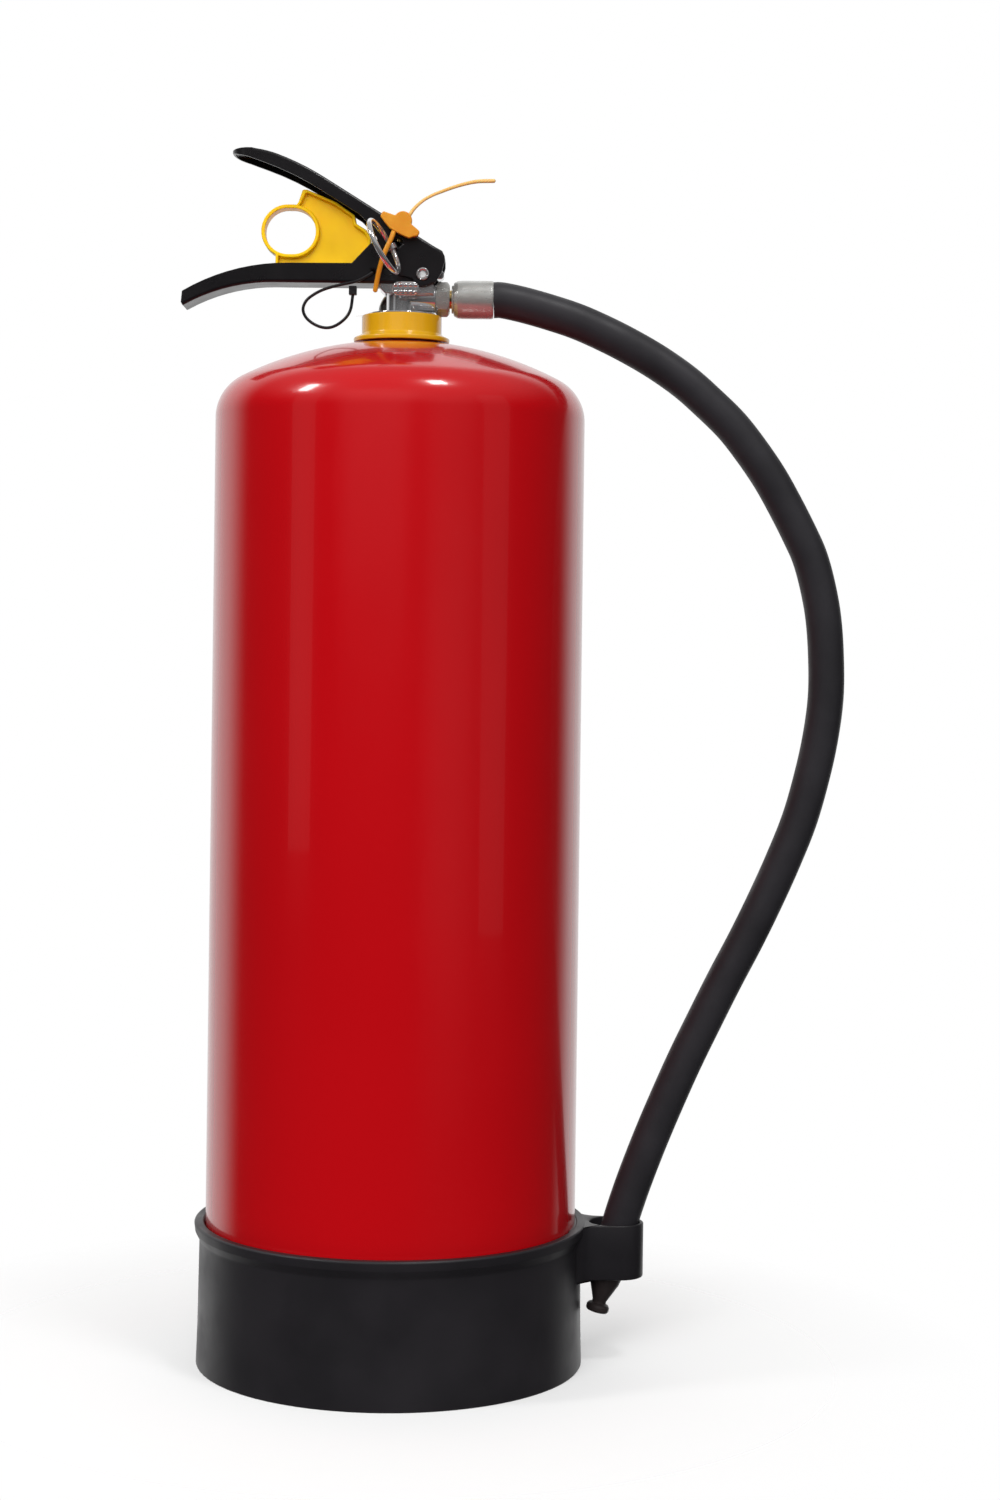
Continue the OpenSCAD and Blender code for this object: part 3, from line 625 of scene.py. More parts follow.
class Tree(Graph):
    """A Geometry Nodes tree with named inputs, that ends in Realize Instances and Set Material."""

    def __init__(self, name: str, inputs: dict[str, str]) -> None:
        """Starts a tree.

        Args:
            name: The tree's name.
            inputs: Socket type of each named input.
        """
        super().__init__(bpy.data.node_groups.new(name, "GeometryNodeTree"))
        face = self.tree.interface
        for key, kind in {"Geometry": "Geometry", **inputs, "Material": "Material"}.items():
            face.new_socket(name=key, in_out="INPUT", socket_type="NodeSocket" + kind)
        face.new_socket(name="Geometry", in_out="OUTPUT", socket_type="NodeSocketGeometry")
        self.source = self.node("NodeGroupInput")
        self.end = self.node("NodeGroupOutput")

    def given(self, key: str) -> Socket:
        """The socket of a named input."""
        return self.source.outputs[key]

    def close(self, geometry: Socket) -> "Tree":
        """Realizes the instances, sets the material and ends the tree."""
        solid = self.node("GeometryNodeRealizeInstances", Geometry=geometry)
        dressed = self.node("GeometryNodeSetMaterial", Geometry=solid.outputs["Geometry"],
                            Material=self.given("Material"))
        self.link(dressed.outputs["Geometry"], self.end.inputs["Geometry"])
        return self

    def run(self, name: str, base: Mesh, values: dict[str, Any], finish: Any,
            crease: float = CREASE) -> Object:
        """Runs the tree on a mesh.

        Args:
            name: The new object's name.
            base: The mesh that the tree starts from.
            values: A value for each named input but the material.
            finish: The finish whose material it sets.
            crease: Edges sharper than this many degrees stay sharp.

        Returns:
            The linked object, a plain mesh.
        """
        holder = bpy.data.objects.new(name, base)
        bpy.context.scene.collection.objects.link(holder)
        modifier = holder.modifiers.new("build", "NODES")
        modifier.node_group = self.tree
        named = {item.name: item.identifier for item in self.tree.interface.items_tree
                 if item.in_out == "INPUT"}
        for key, value in {**values, "Material": PAINTS.get(finish)}.items():
            modifier[named[key]] = value
        mesh = evaluated(holder).data
        bpy.data.objects.remove(holder)
        return finish_mesh(name, mesh, crease)


def sweep_tree() -> Tree:
    """Sweeps a round section along a line; the line's thick attribute scales the section."""
    tree = Tree("sweep", {"Radius": "Float", "Sides": "Int"})
    curve = tree.node("GeometryNodeMeshToCurve", Mesh=tree.given("Geometry"))
    thick = tree.node("GeometryNodeInputNamedAttribute", {"data_type": "FLOAT"}, Name="thick")
    sized = tree.node("GeometryNodeSetCurveRadius", Curve=curve.outputs["Curve"],
                      Radius=thick.outputs["Attribute"])
    ring = tree.node("GeometryNodeCurvePrimitiveCircle", Radius=tree.given("Radius"),
                     Resolution=tree.given("Sides"))
    skin = tree.node("GeometryNodeCurveToMesh", Curve=sized.outputs["Curve"],
                     Profile_Curve=ring.outputs["Curve"], Fill_Caps=True)
    if "Scale" in skin.inputs:
        tree.link(thick.outputs["Attribute"], skin.inputs["Scale"])
    return tree.close(skin.outputs["Mesh"])


def ring_tree() -> Tree:
    """Repeats the base mesh round the Z axis."""
    tree = Tree("round_array", {"Count": "Int", "Radius": "Float"})
    circle = tree.node("GeometryNodeMeshCircle", Vertices=tree.given("Count"),
                       Radius=tree.given("Radius"))
    where = tree.node("GeometryNodeInputPosition")
    angle = tree.node("FunctionNodeAlignRotationToVector", {"axis": "X"},
                      Vector=where.outputs["Position"])
    copies = tree.node("GeometryNodeInstanceOnPoints", Points=circle.outputs["Mesh"],
                       Instance=tree.given("Geometry"), Rotation=angle.outputs["Rotation"])
    return tree.close(copies.outputs["Instances"])


def grid_tree() -> Tree:
    """Repeats the base mesh on a grid in the XY plane."""
    tree = Tree("grid_array", {"Columns": "Int", "Rows": "Int", "Width": "Float", "Height": "Float"})
    grid = tree.node("GeometryNodeMeshGrid", Size_X=tree.given("Width"),
                     Size_Y=tree.given("Height"), Vertices_X=tree.given("Columns"),
                     Vertices_Y=tree.given("Rows"))
    copies = tree.node("GeometryNodeInstanceOnPoints", Points=grid.outputs["Mesh"],
                       Instance=tree.given("Geometry"))
    return tree.close(copies.outputs["Instances"])


def line_mesh(name: str, points: Sequence[Sequence[float]], thick: Sequence[float]) -> Mesh:
    """A line in metres that holds a thickness share at each point."""
    mesh = bpy.data.meshes.new(name)
    mesh.from_pydata([tuple(p) for p in points], [(i, i + 1) for i in range(len(points) - 1)], [])
    attribute = mesh.attributes.new("thick", "FLOAT", "POINT")
    attribute.data.foreach_set("value", list(thick))
    return mesh


def swept(name: str, line: Sequence[Sequence[float]], radius: float, sides: int, finish: Any,
          thick: Optional[Sequence[float]] = None) -> Object:
    """Sweeps a round section along a line.

    Args:
        name: The object's name.
        line: The line's points in metres.
        radius: The section's radius in metres.
        sides: Parts round the section.
        finish: The finish that the tree's Set Material gives.
        thick: The section's share at each point, or None for a full section all along.

    Returns:
        The linked object.
    """
    base = line_mesh(name + "_line", line, thick or [1.0] * len(line))
    return sweep_tree().run(name, base, {"Radius": radius, "Sides": sides}, finish, TUBE_CREASE)


def smooth_line(points: Sequence[Point3], parts: int) -> list[Vector]:
    """A smooth line through points in millimetres.

    Args:
        points: The points that it passes through.
        parts: Parts between each pair of points.

    Returns:
        Points in metres.
    """
    v = [Vector(p) * MM for p in points]
    v = [2 * v[0] - v[1], *v, 2 * v[-1] - v[-2]]
    line = []
    for i in range(1, len(v) - 2):
        a, b, c, d = v[i - 1:i + 3]
        for k in range(parts):
            t = k / parts
            line.append(0.5 * (2 * b + (c - a) * t + (2 * a - 5 * b + 4 * c - d) * t * t
                               + (3 * b - a - 3 * c + d) * t ** 3))
    line.append(v[-2])
    return line


def line_length(points: Sequence[Vector]) -> float:
    """Length of a line of points."""
    return sum((b - a).length for a, b in zip(points, points[1:]))


def round_end(points: Sequence[Vector], radius: float) -> tuple[list[Vector], list[float]]:
    """Closes a line's far end with a dome.

    Args:
        points: The line in metres.
        radius: The section's radius in metres.

    Returns:
        The line with the dome's points added inside its length, and the thickness at each.
    """
    shares = [(0.72, 0.96), (0.42, 0.82), (0.18, 0.57), (0.05, 0.31), (0.0, 0.08)]
    tip, back = points[-1], (points[-2] - points[-1]).normalized()
    kept = [p for p in points if (p - tip).length > radius * 1.05]
    return (kept + [tip + back * radius * s for s, _ in shares],
            [1.0] * len(kept) + [w for _, w in shares])


# ---- The studio ----

@dataclass
class Studio:
    """Camera, floor, world and lights.

    Each ramp holds the values where it starts and ends, and what it gives there.
    """

    camera_at: Point3 = (0.050, -1.296, 0.348)
    lens: float = 63.6
    sensor: float = 36.0
    reach: Point2 = (0.01, 50.0)
    roll: float = 0.0125
    rise: float = -0.068
    behind: Point3 = (-0.13, 0.99, 0.02)
    behind_ramp: tuple[float, ...] = (0.36, 0.72, 0.035, 1.1)
    above: Point3 = (0.0, -0.25, 0.97)
    above_ramp: tuple[float, ...] = (0.25, 0.8, 0.0, 0.42)
    floor_half: float = 1000.0
    floor_fade: tuple[float, ...] = (0.10, 0.30, 0.62, 0.0)

    def camera(self) -> None:
        """Makes the camera at the height of the cylinder's shoulder, in front."""
        data = bpy.data.cameras.new("camera")
        data.lens, data.sensor_width, data.shift_y = self.lens, self.sensor, self.rise
        data.clip_start, data.clip_end = self.reach
        obj = bpy.data.objects.new("camera", data)
        obj.matrix_world = (Matrix.Translation(self.camera_at) @ Matrix.Rotation(math.pi / 2, 4, "X")
                            @ Matrix.Rotation(self.roll, 4, "Z"))
        bpy.context.scene.collection.objects.link(obj)
        bpy.context.scene.camera = obj

    def floor(self) -> None:
        """Makes the pale floor, which fades out at a distance."""
        half = self.floor_half
        obj = from_points("floor", [(-half, -half, 0), (half, -half, 0), (half, half, 0),
                                    (-half, half, 0)], [[0, 1, 2, 3]])
        shader = Shader("floor")
        where = shader.place()
        tone = shader.mix(shader.noise(where, 3.0, 2.0), (0.95, 0.95, 0.95), (0.97, 0.97, 0.97))
        shader.link(tone, shader.surface.inputs["Base Color"])
        shader.surface.inputs["Roughness"].default_value = 0.9
        shader.surface.inputs["Specular IOR Level"].default_value = 0.0
        shader.link(shader.spread(shader.vector("LENGTH", where), *self.floor_fade),
                    shader.surface.inputs["Alpha"])
        obj.data.materials.append(shader.material)
        obj.visible_glossy = False

    def world(self) -> None:
        """White to the camera; for light and gloss, dark in front and bright behind and above."""
        world = bpy.data.worlds.new("studio")
        bpy.context.scene.world = world
        world.use_nodes = True
        graph = Graph(world.node_tree)
        graph.tree.nodes.clear()
        where = graph.node("ShaderNodeTexCoord").outputs["Generated"]
        glow = [graph.spread(graph.vector("DOT_PRODUCT", where, way), *ramp, "SMOOTHSTEP")
                for way, ramp in ((self.behind, self.behind_ramp), (self.above, self.above_ramp))]
        lit = graph.node("ShaderNodeBackground", Strength=graph.maths("ADD", *glow))
        seen = graph.node("ShaderNodeBackground", Color=(*WHITE, 1.0))
        mix = graph.node("ShaderNodeMixShader",
                         Fac=graph.node("ShaderNodeLightPath").outputs["Is Camera Ray"])
        graph.link(lit.outputs["Background"], mix.inputs[1])
        graph.link(seen.outputs["Background"], mix.inputs[2])
        graph.node("ShaderNodeOutputWorld", Surface=mix.outputs["Shader"])

    def lamp(self, name: str, at: Point3, aim: Point3, size: tuple[float, float], power: float,
             glossy: bool = True) -> None:
        """Adds one soft panel.

        Args:
            name: The lamp's name.
            at: Its place.
            aim: The point that it faces.
            size: Its width and height.
            power: Its power in watts.
            glossy: Whether it shows in reflections.
        """
        data = bpy.data.lights.new(name, "AREA")
        data.shape, data.size, data.size_y, data.energy = "RECTANGLE", *size, power
        obj = bpy.data.objects.new(name, data)
        obj.location = at
        obj.rotation_euler = (Vector(aim) - Vector(at)).to_track_quat("-Z", "Y").to_euler()
        obj.visible_camera = False
        obj.visible_glossy = glossy
        bpy.context.scene.collection.objects.link(obj)

    def lights(self) -> None:
        """Adds the soft key, and the panels that show as bands on the gloss."""
        middle = (0.0, 0.0, 0.32)
        self.lamp("key", (-0.5, -2.2, 1.3), middle, (1.8, 1.8), 46.0, glossy=False)
        self.lamp("fill", (1.3, -1.9, 0.7), middle, (1.2, 1.6), 12.0, glossy=False)
        self.lamp("left_panel", (-1.75, -1.1, 0.9), middle, (0.6, 1.7), 0.7)
        self.lamp("right_panel", (1.9, -1.0, 0.8), middle, (0.7, 1.7), 0.6)
        self.lamp("left_spot", (-1.25, -0.55, 1.6), (0.0, 0.0, 0.45), (0.22, 0.45), 8.0)
        self.lamp("right_spot", (0.5, -0.7, 1.9), (0.0, 0.0, 0.5), (0.24, 0.3), 7.0)


# ---- The cylinder ----

@dataclass
class Cylinder:
    """Painted steel body with domed ends, and the yellow collar round its neck."""

    radius: float = 90.0
    wall: float = 1.5
    seam: float = 46.0
    shoulder: float = 458.4
    crown: float = 170.0
    knuckle: float = 22.0
    neck: float = 17.02
    wall_step: float = 16.5
    wall_steps: int = 25

    def dome(self, inset: float) -> list[Point2]:
        """Profile of a domed end from its axis to its rim, moved inwards by an inset."""
        kc = self.radius - self.knuckle
        drop = math.sqrt((self.crown - self.knuckle) ** 2 - kc * kc)
        split = math.degrees(math.atan2(drop, kc))
        return (arc((0, -drop), self.crown - inset, 90, split, 30)
                + arc((kc, 0), self.knuckle - inset, split, 0, 22)[1:])

    def shell(self) -> None:
        """Makes the wall and the shoulder as one closed skin."""
        def wall_line(inset: float) -> list[Point2]:
            """One face of the wall, from the neck down to the seam."""
            dome = [(r, z + self.shoulder) for r, z in self.dome(inset) if r > self.neck]
            top = self.shoulder + self.dome(inset)[0][1]
            sag = self.neck ** 2 / (2 * self.crown)
            side = [(self.radius - inset, self.shoulder - self.wall_step * i)
                    for i in range(1, self.wall_steps)]
            return [(self.neck, top - sag), *dome, *side, (self.radius - inset, self.seam)]

        outer, inner = wall_line(0.0), wall_line(self.wall)
        piece = lathe("painted_body", outer + inner[::-1], segments=224)
        settle(piece, RED_PAINT, "root", ["cylinder_shell"])

    def base(self) -> None:
        """Makes the domed bottom."""
        def line(inset: float) -> list[Point2]:
            """One face of the bottom, from its axis to the seam."""
            return [(r, self.seam - z) for r, z in self.dome(inset)]

        piece = lathe("domed_bottom", line(0.0) + line(self.wall)[::-1], segments=160)
        settle(piece, RED_PAINT, "root", ["bottom_cap"])

    def collar(self) -> None:
        """Makes the collar ring with its thin flange."""
        corners = [(17.2, 496.4, 0), (23.3, 496.4, 0.5), (23.5, 498.4, 0.9), (21.3, 499.4, 0.8),
                   (19.5, 500.4, 0.9), (19.5, 509.5, 0.55), (18.2, 509.5, 0.4), (17.9, 508.9, 0.3),
                   (17.2, 508.9, 0.0)]
        piece = lathe("neck_collar", rounded(corners), segments=160, crease=MOULD_CREASE)
        settle(piece, COLLAR_YELLOW, "root", ["neck_ring"])

    def make(self) -> None:
        """Makes all of it."""
        self.shell()
        self.base()
        self.collar()


# ---- The base skirt ----

@dataclass
class Skirt:
    """Moulded foot with its ribs and the hose holder."""

    bore: float = 90.2
    height: float = 69.0
    rib_count: int = 12
    rib_inner: float = 72.0
    rib_thick: float = 2.5
    holder_z: tuple[float, float] = (42.0, 68.5)
    end_x: float = 112.0
    end_r: float = 11.6
    hole_x: tuple[float, float] = (97.2, 121.8)
    hole_r: float = 9.8

    def wall(self) -> None:
        """Makes the wall, slightly wider at the foot, with its flared lip."""
        h, b = self.height, self.bore
        corners = [(b + 0.6, 0.0, 0.5), (93.9, 0.0, 0.7), (93.3, 20.0, 20), (92.8, 60.5, 3.0),
                   (94.9, 64.4, 1.6), (95.4, 68.2, 0.9), (94.6, h, 0.5), (b + 1.0, h, 0.6),
                   (b, h - 1.2, 0.6), (b, 24.0, 0.0)]
        piece = lathe("foot_skirt", rounded(corners), segments=224, crease=MOULD_CREASE)
        settle(piece, SKIRT_PLASTIC, "root", ["base_skirt"])

    def outline(self, inset: float) -> list[Point2]:
        """Plan of the hose holder, from the skirt's wall round its free end and back."""
        r = self.end_r - inset
        side = [(86.5, -26.0 + inset), (91.0, -20.4 + inset), (95.0, -15.0 + inset),
                (99.0, -12.6 + inset), (104.0, -11.9 + inset), (108.0, -11.7 + inset)]
        end = arc((self.end_x, 0.0), r, -90, 90, 28)
        inner = [(86.5, 20.0), (87.6, 12.0), (88.2, 6.0), (88.4, 0.0), (88.2, -6.0),
                 (87.6, -12.0), (86.5, -20.0)]
        return side + end + [(x, -y) for x, y in side[::-1]] + inner

    def hole(self, grow: float) -> list[Point2]:
        """Plan of the oval hole, as many points as the outline."""
        r = self.hole_r + grow
        left, right = self.hole_x[0] + self.hole_r, self.hole_x[1] - self.hole_r
        count = len(self.outline(0.0))
        half = count // 2
        ends = arc((right, 0.0), r, -90, 90, half - 1)
        return ends + arc((left, 0.0), r, 90, 270, count - half - 1)

    def holder(self) -> None:
        """Makes the holder as a closed ring of sections: outside up, over the rim, inside down."""
        low, high = self.holder_z
        edge = 0.7
        outside = [(low, edge * 0.9), (low + edge * 0.3, edge * 0.35), (low + edge, 0.0),
                   (high - edge, 0.0), (high - edge * 0.3, edge * 0.35), (high, edge * 0.9)]
        inside = [(high, edge * 0.9), (high - edge * 0.3, edge * 0.3), (high - edge, 0.0),
                  (low + edge, 0.0), (low + edge * 0.3, edge * 0.3), (low, edge * 0.9)]
        loops = [[(x, y, z) for x, y in self.outline(i)] for z, i in outside]
        count = len(loops[0])
        start = min(range(count), key=lambda k: (loops[0][k][0] - self.end_x) ** 2
                    + (loops[0][k][1] + self.end_r) ** 2)
        loops = [loop[start:] + loop[:start] for loop in loops]
        loops += [[(x, y, z) for x, y in self.hole(g)] for z, g in inside]
        settle(loft("hose_holder_cup", loops, MOULD_CREASE, ring=True), SKIRT_PLASTIC, "root",
               ["hose_holder"])

    def ribs(self) -> None:
        """Makes the ribs that the cylinder stands on, repeated round the axis."""
        outline = rounded([(self.rib_inner, 0.2, 0.6), (91.0, 0.2, 0), (91.0, 30.0, 0),
                           (86.0, 24.0, 2.0), (self.rib_inner, 21.0, 1.2)], steps=4)
        half = self.rib_thick / 2
        rib = loft("rib", [[(x, y, z) for x, z in outline] for y in (-half, half)])
        piece = ring_tree().run("foot_ribs", taken(rib),
                                {"Count": self.rib_count, "Radius": RING_START}, SKIRT_PLASTIC)
        settle(piece, SKIRT_PLASTIC, "root", ["skirt_ribs"])

    def make(self) -> None:
        """Makes all of it."""
        self.wall()
        self.holder()
        self.ribs()


# ---- The hose ----

@dataclass
class Hose:
    """Discharge hose from the valve's outlet to the nozzle, a free cord of about 0.57 m."""

    radius: float = 8.75
    outlet_z: float = 518.0
    nut: tuple[float, float] = (16.6, 23.3)
    nut_corner: float = 8.6
    nut_turn: float = 11.0
    ferrule: tuple[float, float] = (24.3, 44.7)
    ferrule_r: float = 9.3
    tip: Point3 = (101.3, 0.0, 24.6)
    lean: float = 13.94
    route: list[Point3] = field(default_factory=lambda: [
        (44.7, 0, 518), (49, 0, 518), (59, 0, 516), (72, 0, 512.5), (86, 0, 508), (100, 0, 502),
        (113, 0, 495.5), (126, 0, 488), (139, 0, 479), (150, 0, 469.5), (162, 0, 458),
        (172, 0, 445.5), (181, 0, 432.5), (189, 0, 418.5), (196, 0, 405), (201, 0, 394),
        (205, 0, 380), (208, 0, 364), (209.5, 0, 344.5), (209.5, 0, 325), (207, 0, 305),
        (203, 0, 286), (197.5, 0, 266), (190, 0, 246.5), (181.5, 0, 227), (172, 0, 207),
        (162, 0, 187.5), (152.5, 0, 168), (143, 0, 148), (134.5, 0, 128.5), (126.5, 0, 109),
        (119, 0, 89), (113.4, 0, 72), (110, 0, 59.64), (108.53, 0, 53.72)])

    def nozzle(self) -> Object:
        """Makes the nozzle: a tapered tip with a stub flange, under the sleeve on the hose."""
        corners = [(2.6, 0, 0.3), (5.1, 0, 0.5), (5.6, 0.9, 0.4), (5.6, 2.6, 0.5), (4.9, 3.6, 0.5),
                   (3.4, 4.4, 0.5), (3.5, 5.6, 0.8), (7.2, 14.5, 1.0), (7.9, 18, 0.6),
                   (8.4, 18.8, 0.4), (8.4, 29.5, 0.4), (8.1, 30, 0.2), (2.6, 30, 0)]
        place = (Matrix.Translation(self.tip)
                 @ Matrix.Rotation(math.radians(self.lean), 4, "Y"))
        piece = lathe("discharge_nozzle", rounded(corners), place, 72, crease=MOULD_CREASE)
        return settle(piece, NOZZLE_PLASTIC, "nozzle", ["nozzle"])

    def pipe(self) -> None:
        """Makes the hose, bent between the valve and the nozzle."""
        line = smooth_line(self.route, 5)
        piece = swept("rubber_hose", line, self.radius * MM, 40, HOSE_RUBBER)
        dress(piece, HOSE_RUBBER)
        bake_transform(piece)
        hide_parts("hose")
        log.info("hose: %.3f m", line_length(line))

    def fittings(self) -> None:
        """Makes the crimped ferrule and the hexagon nut."""
        x0, x1 = self.ferrule
        length = x1 - x0
        r = self.ferrule_r
        corners = [(4.6, 0, 0), (6.7, 0, 0.2), (7.0, 0.9, 0.3), (8.2, 1.2, 0.5), (r - 0.25, 3.0, 0.6),
                   (r, 5.2, 1.5), (r, length - 0.9, 0.5), (r - 0.3, length, 0.3),
                   (self.radius + 0.02, length, 0.1), (self.radius + 0.02, 2.4, 0.2),
                   (4.6, 2.4, 0)]
        piece = lathe("crimped_ferrule", rounded(corners), along("X", x0, 0, self.outlet_z), 112,
                      crease=MOULD_CREASE)
        settle(piece, ZINC_PLATE, "root", ["hose_ferrule"])
        settle(self.hexagon("outlet_nut"), ZINC_PLATE, "root", ["hose_nut"])

    def hexagon(self, name: str) -> Object:
        """A hexagon nut whose corners run out in chamfers, as a turned blank leaves them."""
        sides, parts = 6, 12
        corner, flat = self.nut_corner, self.nut_corner * math.cos(math.pi / 6)
        x0, x1 = self.nut
        bore = 5.92
        stations = [(x0, flat - 0.45), (x0 + 0.5, flat + 0.25), (x0 + 1.2, corner),
                    (x1 - 1.2, corner), (x1 - 0.5, flat + 0.25), (x1, flat - 0.45)]
        turns = [2 * math.pi * k / (sides * parts) for k in range(sides * parts)]

        def loop(x: float, reach: Callable[[float], float], turn: float) -> list[Point3]:
            """One section of the nut, with its radius given at each angle."""
            return [(x, reach(a) * math.sin(a + turn), self.outlet_z - reach(a) * math.cos(a + turn))
                    for a in turns]

        def blank(limit: float) -> Callable[[float], float]:
            """Radius of the hexagon cut to a limit."""
            def reach(a: float) -> float:
                """That radius at an angle."""
                within = (a + math.pi / 6) % (math.pi / 3) - math.pi / 6
                return min(flat / math.cos(math.pi / 6 - abs(within)), limit, corner - 0.12)

            return reach

        loops = [loop(x, blank(limit), math.radians(self.nut_turn)) for x, limit in stations]
        loops += [loop(x, lambda a: bore, 0.0) for x in (x1, x0)]
        return loft(name, loops, 24, ring=True)

    def make(self) -> None:
        """Makes all of it."""
        nozzle = self.nozzle()
        self.pipe()
        self.fittings()


# ---- The valve ----

@dataclass
class Valve:
    """Chromed forging with its front plug, and the brass stem and springs inside."""

    plug_x: float = 2.2
    plug_z: float = 521.2
    plug_half: tuple[float, float] = (6.6, 3.5)
    plug_y: tuple[float, float] = (-13.1, -15.6)
    bead_field: tuple[float, float] = (9.6, 3.3)
    bead_stretch: float = 1.05
    shank_at: Point3 = (2.2, -13.2, 519.6)

    def forging(self) -> None:
        """Makes the valve's body from its CAD shape, with the edges of a polished forging."""
        piece = softened("valve_forging", "valve_body", 0.45, 3)
        settle(piece, CHROME, "root", ["valve_body"])

    def plug(self) -> None:
        """Makes the long front plug: two ribs with a groove between them."""
        back, front = self.plug_y
        half_w, half_h = self.plug_half

        def stadium(y: float, inset: float) -> list[Point3]:
            """One section of the head."""
            r = half_h - inset
            dx = half_w - half_h
            right = arc((self.plug_x + dx, self.plug_z), r, -90, 90, 14)
            left = arc((self.plug_x - dx, self.plug_z), r, 90, 270, 14)
            return [(x, y, z) for x, z in right + left]

        steps = [(back, 0.35), (back - 0.2, 0.08), (back - 0.45, 0.0), (back - 0.9, 0.0),
                 (back - 1.0, 0.3), (back - 1.15, 0.3), (back - 1.25, 0.0), (front + 0.7, 0.0),
                 (front + 0.35, 0.12), (front + 0.1, 0.42), (front, 0.85)]
        head = loft("plug_head", [stadium(y, inset) for y, inset in steps], 40)
        settle(head, CHROME, "root", ["port_plug"])
        dome = lathe("bead", [(0, -0.3), (1.0, -0.3), (1.12, 0.05), (0.9, 0.5), (0.45, 0.78),
                              (0, 0.86)], segments=18, closed=False)
        mesh = taken(dome)
        mesh.transform(Matrix.Diagonal((self.bead_stretch, 1.0, 1.0, 1.0)))
        width, height = self.bead_field
        row = grid_tree().run("plug_beads", mesh, {
            "Columns": 5, "Rows": 2, "Width": width * MM, "Height": height * MM}, CHROME)
        row.data.transform(Matrix.Translation(
            (self.plug_x * MM, (front + 0.25) * MM, self.plug_z * MM))
            @ Matrix.Rotation(math.pi / 2, 4, "X"))
        settle(row, CHROME, "root")
        shank = lathe("plug_shank", rounded([(0, 0, 0), (2, 0, 0.3), (2, 6.8, 0), (0, 6.8, 0)],
                                            closed=False),
                      along("Y", *self.shank_at), 40, closed=False)
        settle(shank, CHROME, "root")

    def inside(self) -> None:
        """Dresses the inner parts, which keep their CAD shapes."""
        for node, finish in {
                "neck_boss": INSIDE_STEEL, "valve_oring": SEAL_RUBBER, "stem_orings": SEAL_RUBBER,
                "stem_seal": SEAL_RUBBER, "valve_stem": STEM_BRASS, "stem_spring": SPRING_STEEL,
                "dip_tube_adapter": INNER_PLASTIC, "dip_tube": INNER_PLASTIC,
                "powder_charge": POWDER, "outlet_washer": SEAL_RUBBER,
                "hose_insert": STEM_BRASS, "gauge_bourdon": STEM_BRASS,
                "handle_rivet": BLACK_COAT}.items():
            dress(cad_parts[node], finish)

    def make(self) -> None:
        """Makes all of it."""
        self.forging()
        self.plug()
        self.inside()


# ---- The gauge ----

@dataclass
class Gauge:
    """Pressure gauge at the back of the valve: case, bezel, window, dial, marks and needle."""

    z: float = 515.0
    radius: float = 12.0
    dial: Point2 = (25.0, 25.5)
    tick_count: int = 24

    def make(self) -> None:
        """Makes all of it."""
        r, at = self.radius, along("Y", 0, 0, self.z)
        case = rounded([(0, 10, 0), (2.5, 10, 0.2), (2.5, 13, 0.1), (3.5, 13, 0.2),
                        (3.5, 19.4, 0.8), (7.5, 20.4, 1.5), (r, 20.9, 1.3), (r, 30, 0.1),
                        (r - 1, 30, 0.1), (r - 1, 21.7, 0.3), (0, 21.7, 0)], closed=False)
        settle(lathe("gauge_shell", case, at, 80, closed=False), GAUGE_BRASS, "root",
               ["gauge_case"])
        rim = rounded([(r + 0.03, 28, 0.1), (r + 0.7, 28, 0.25), (r + 0.7, 30.2, 0.5),
                       (r - 0.2, 31, 0.5), (r - 1.4, 30.9, 0.4), (r - 2, 30.1, 0.2),
                       (r - 2, 29.7, 0), (r + 0.03, 30.05, 0)])
        settle(lathe("gauge_rim", rim, at, 96), GAUGE_BRASS, "root", ["gauge_bezel"])
        lens = rounded([(0, 28.4, 0), (r - 1.06, 28.4, 0.1), (r - 1.06, 29.3, 0.2),
                        (r - 3, 29.6, 4), (0, 29.6, 0)], closed=False)
        settle(lathe("gauge_window", lens, at, 80, closed=False), GaugeGlass(), "root",
               ["gauge_lens"])
        back, front = self.dial
        face = [(0.65, back), (r - 1.1, back), (r - 1.1, front), (0.65, front)]
        settle(lathe("gauge_face", face, at, 80), DialFace(), "root", ["gauge_dial"])
        tick = loft("tick", [[(9.3, -0.14, z), (10.3, -0.14, z), (10.3, 0.14, z), (9.3, 0.14, z)]
                             for z in (0.0, 0.06)])
        marks = ring_tree().run("dial_marks", taken(tick),
                                {"Count": self.tick_count, "Radius": RING_START}, MARK_INK)
        marks.data.transform(Matrix.Translation((0, front * MM, self.z * MM))
                             @ Matrix.Rotation(-math.pi / 2, 4, "X"))
        settle(marks, MARK_INK, "root")
        dress(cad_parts["gauge_needle"], NEEDLE_BLACK)


# ---- Lever, handle, pin and clip ----

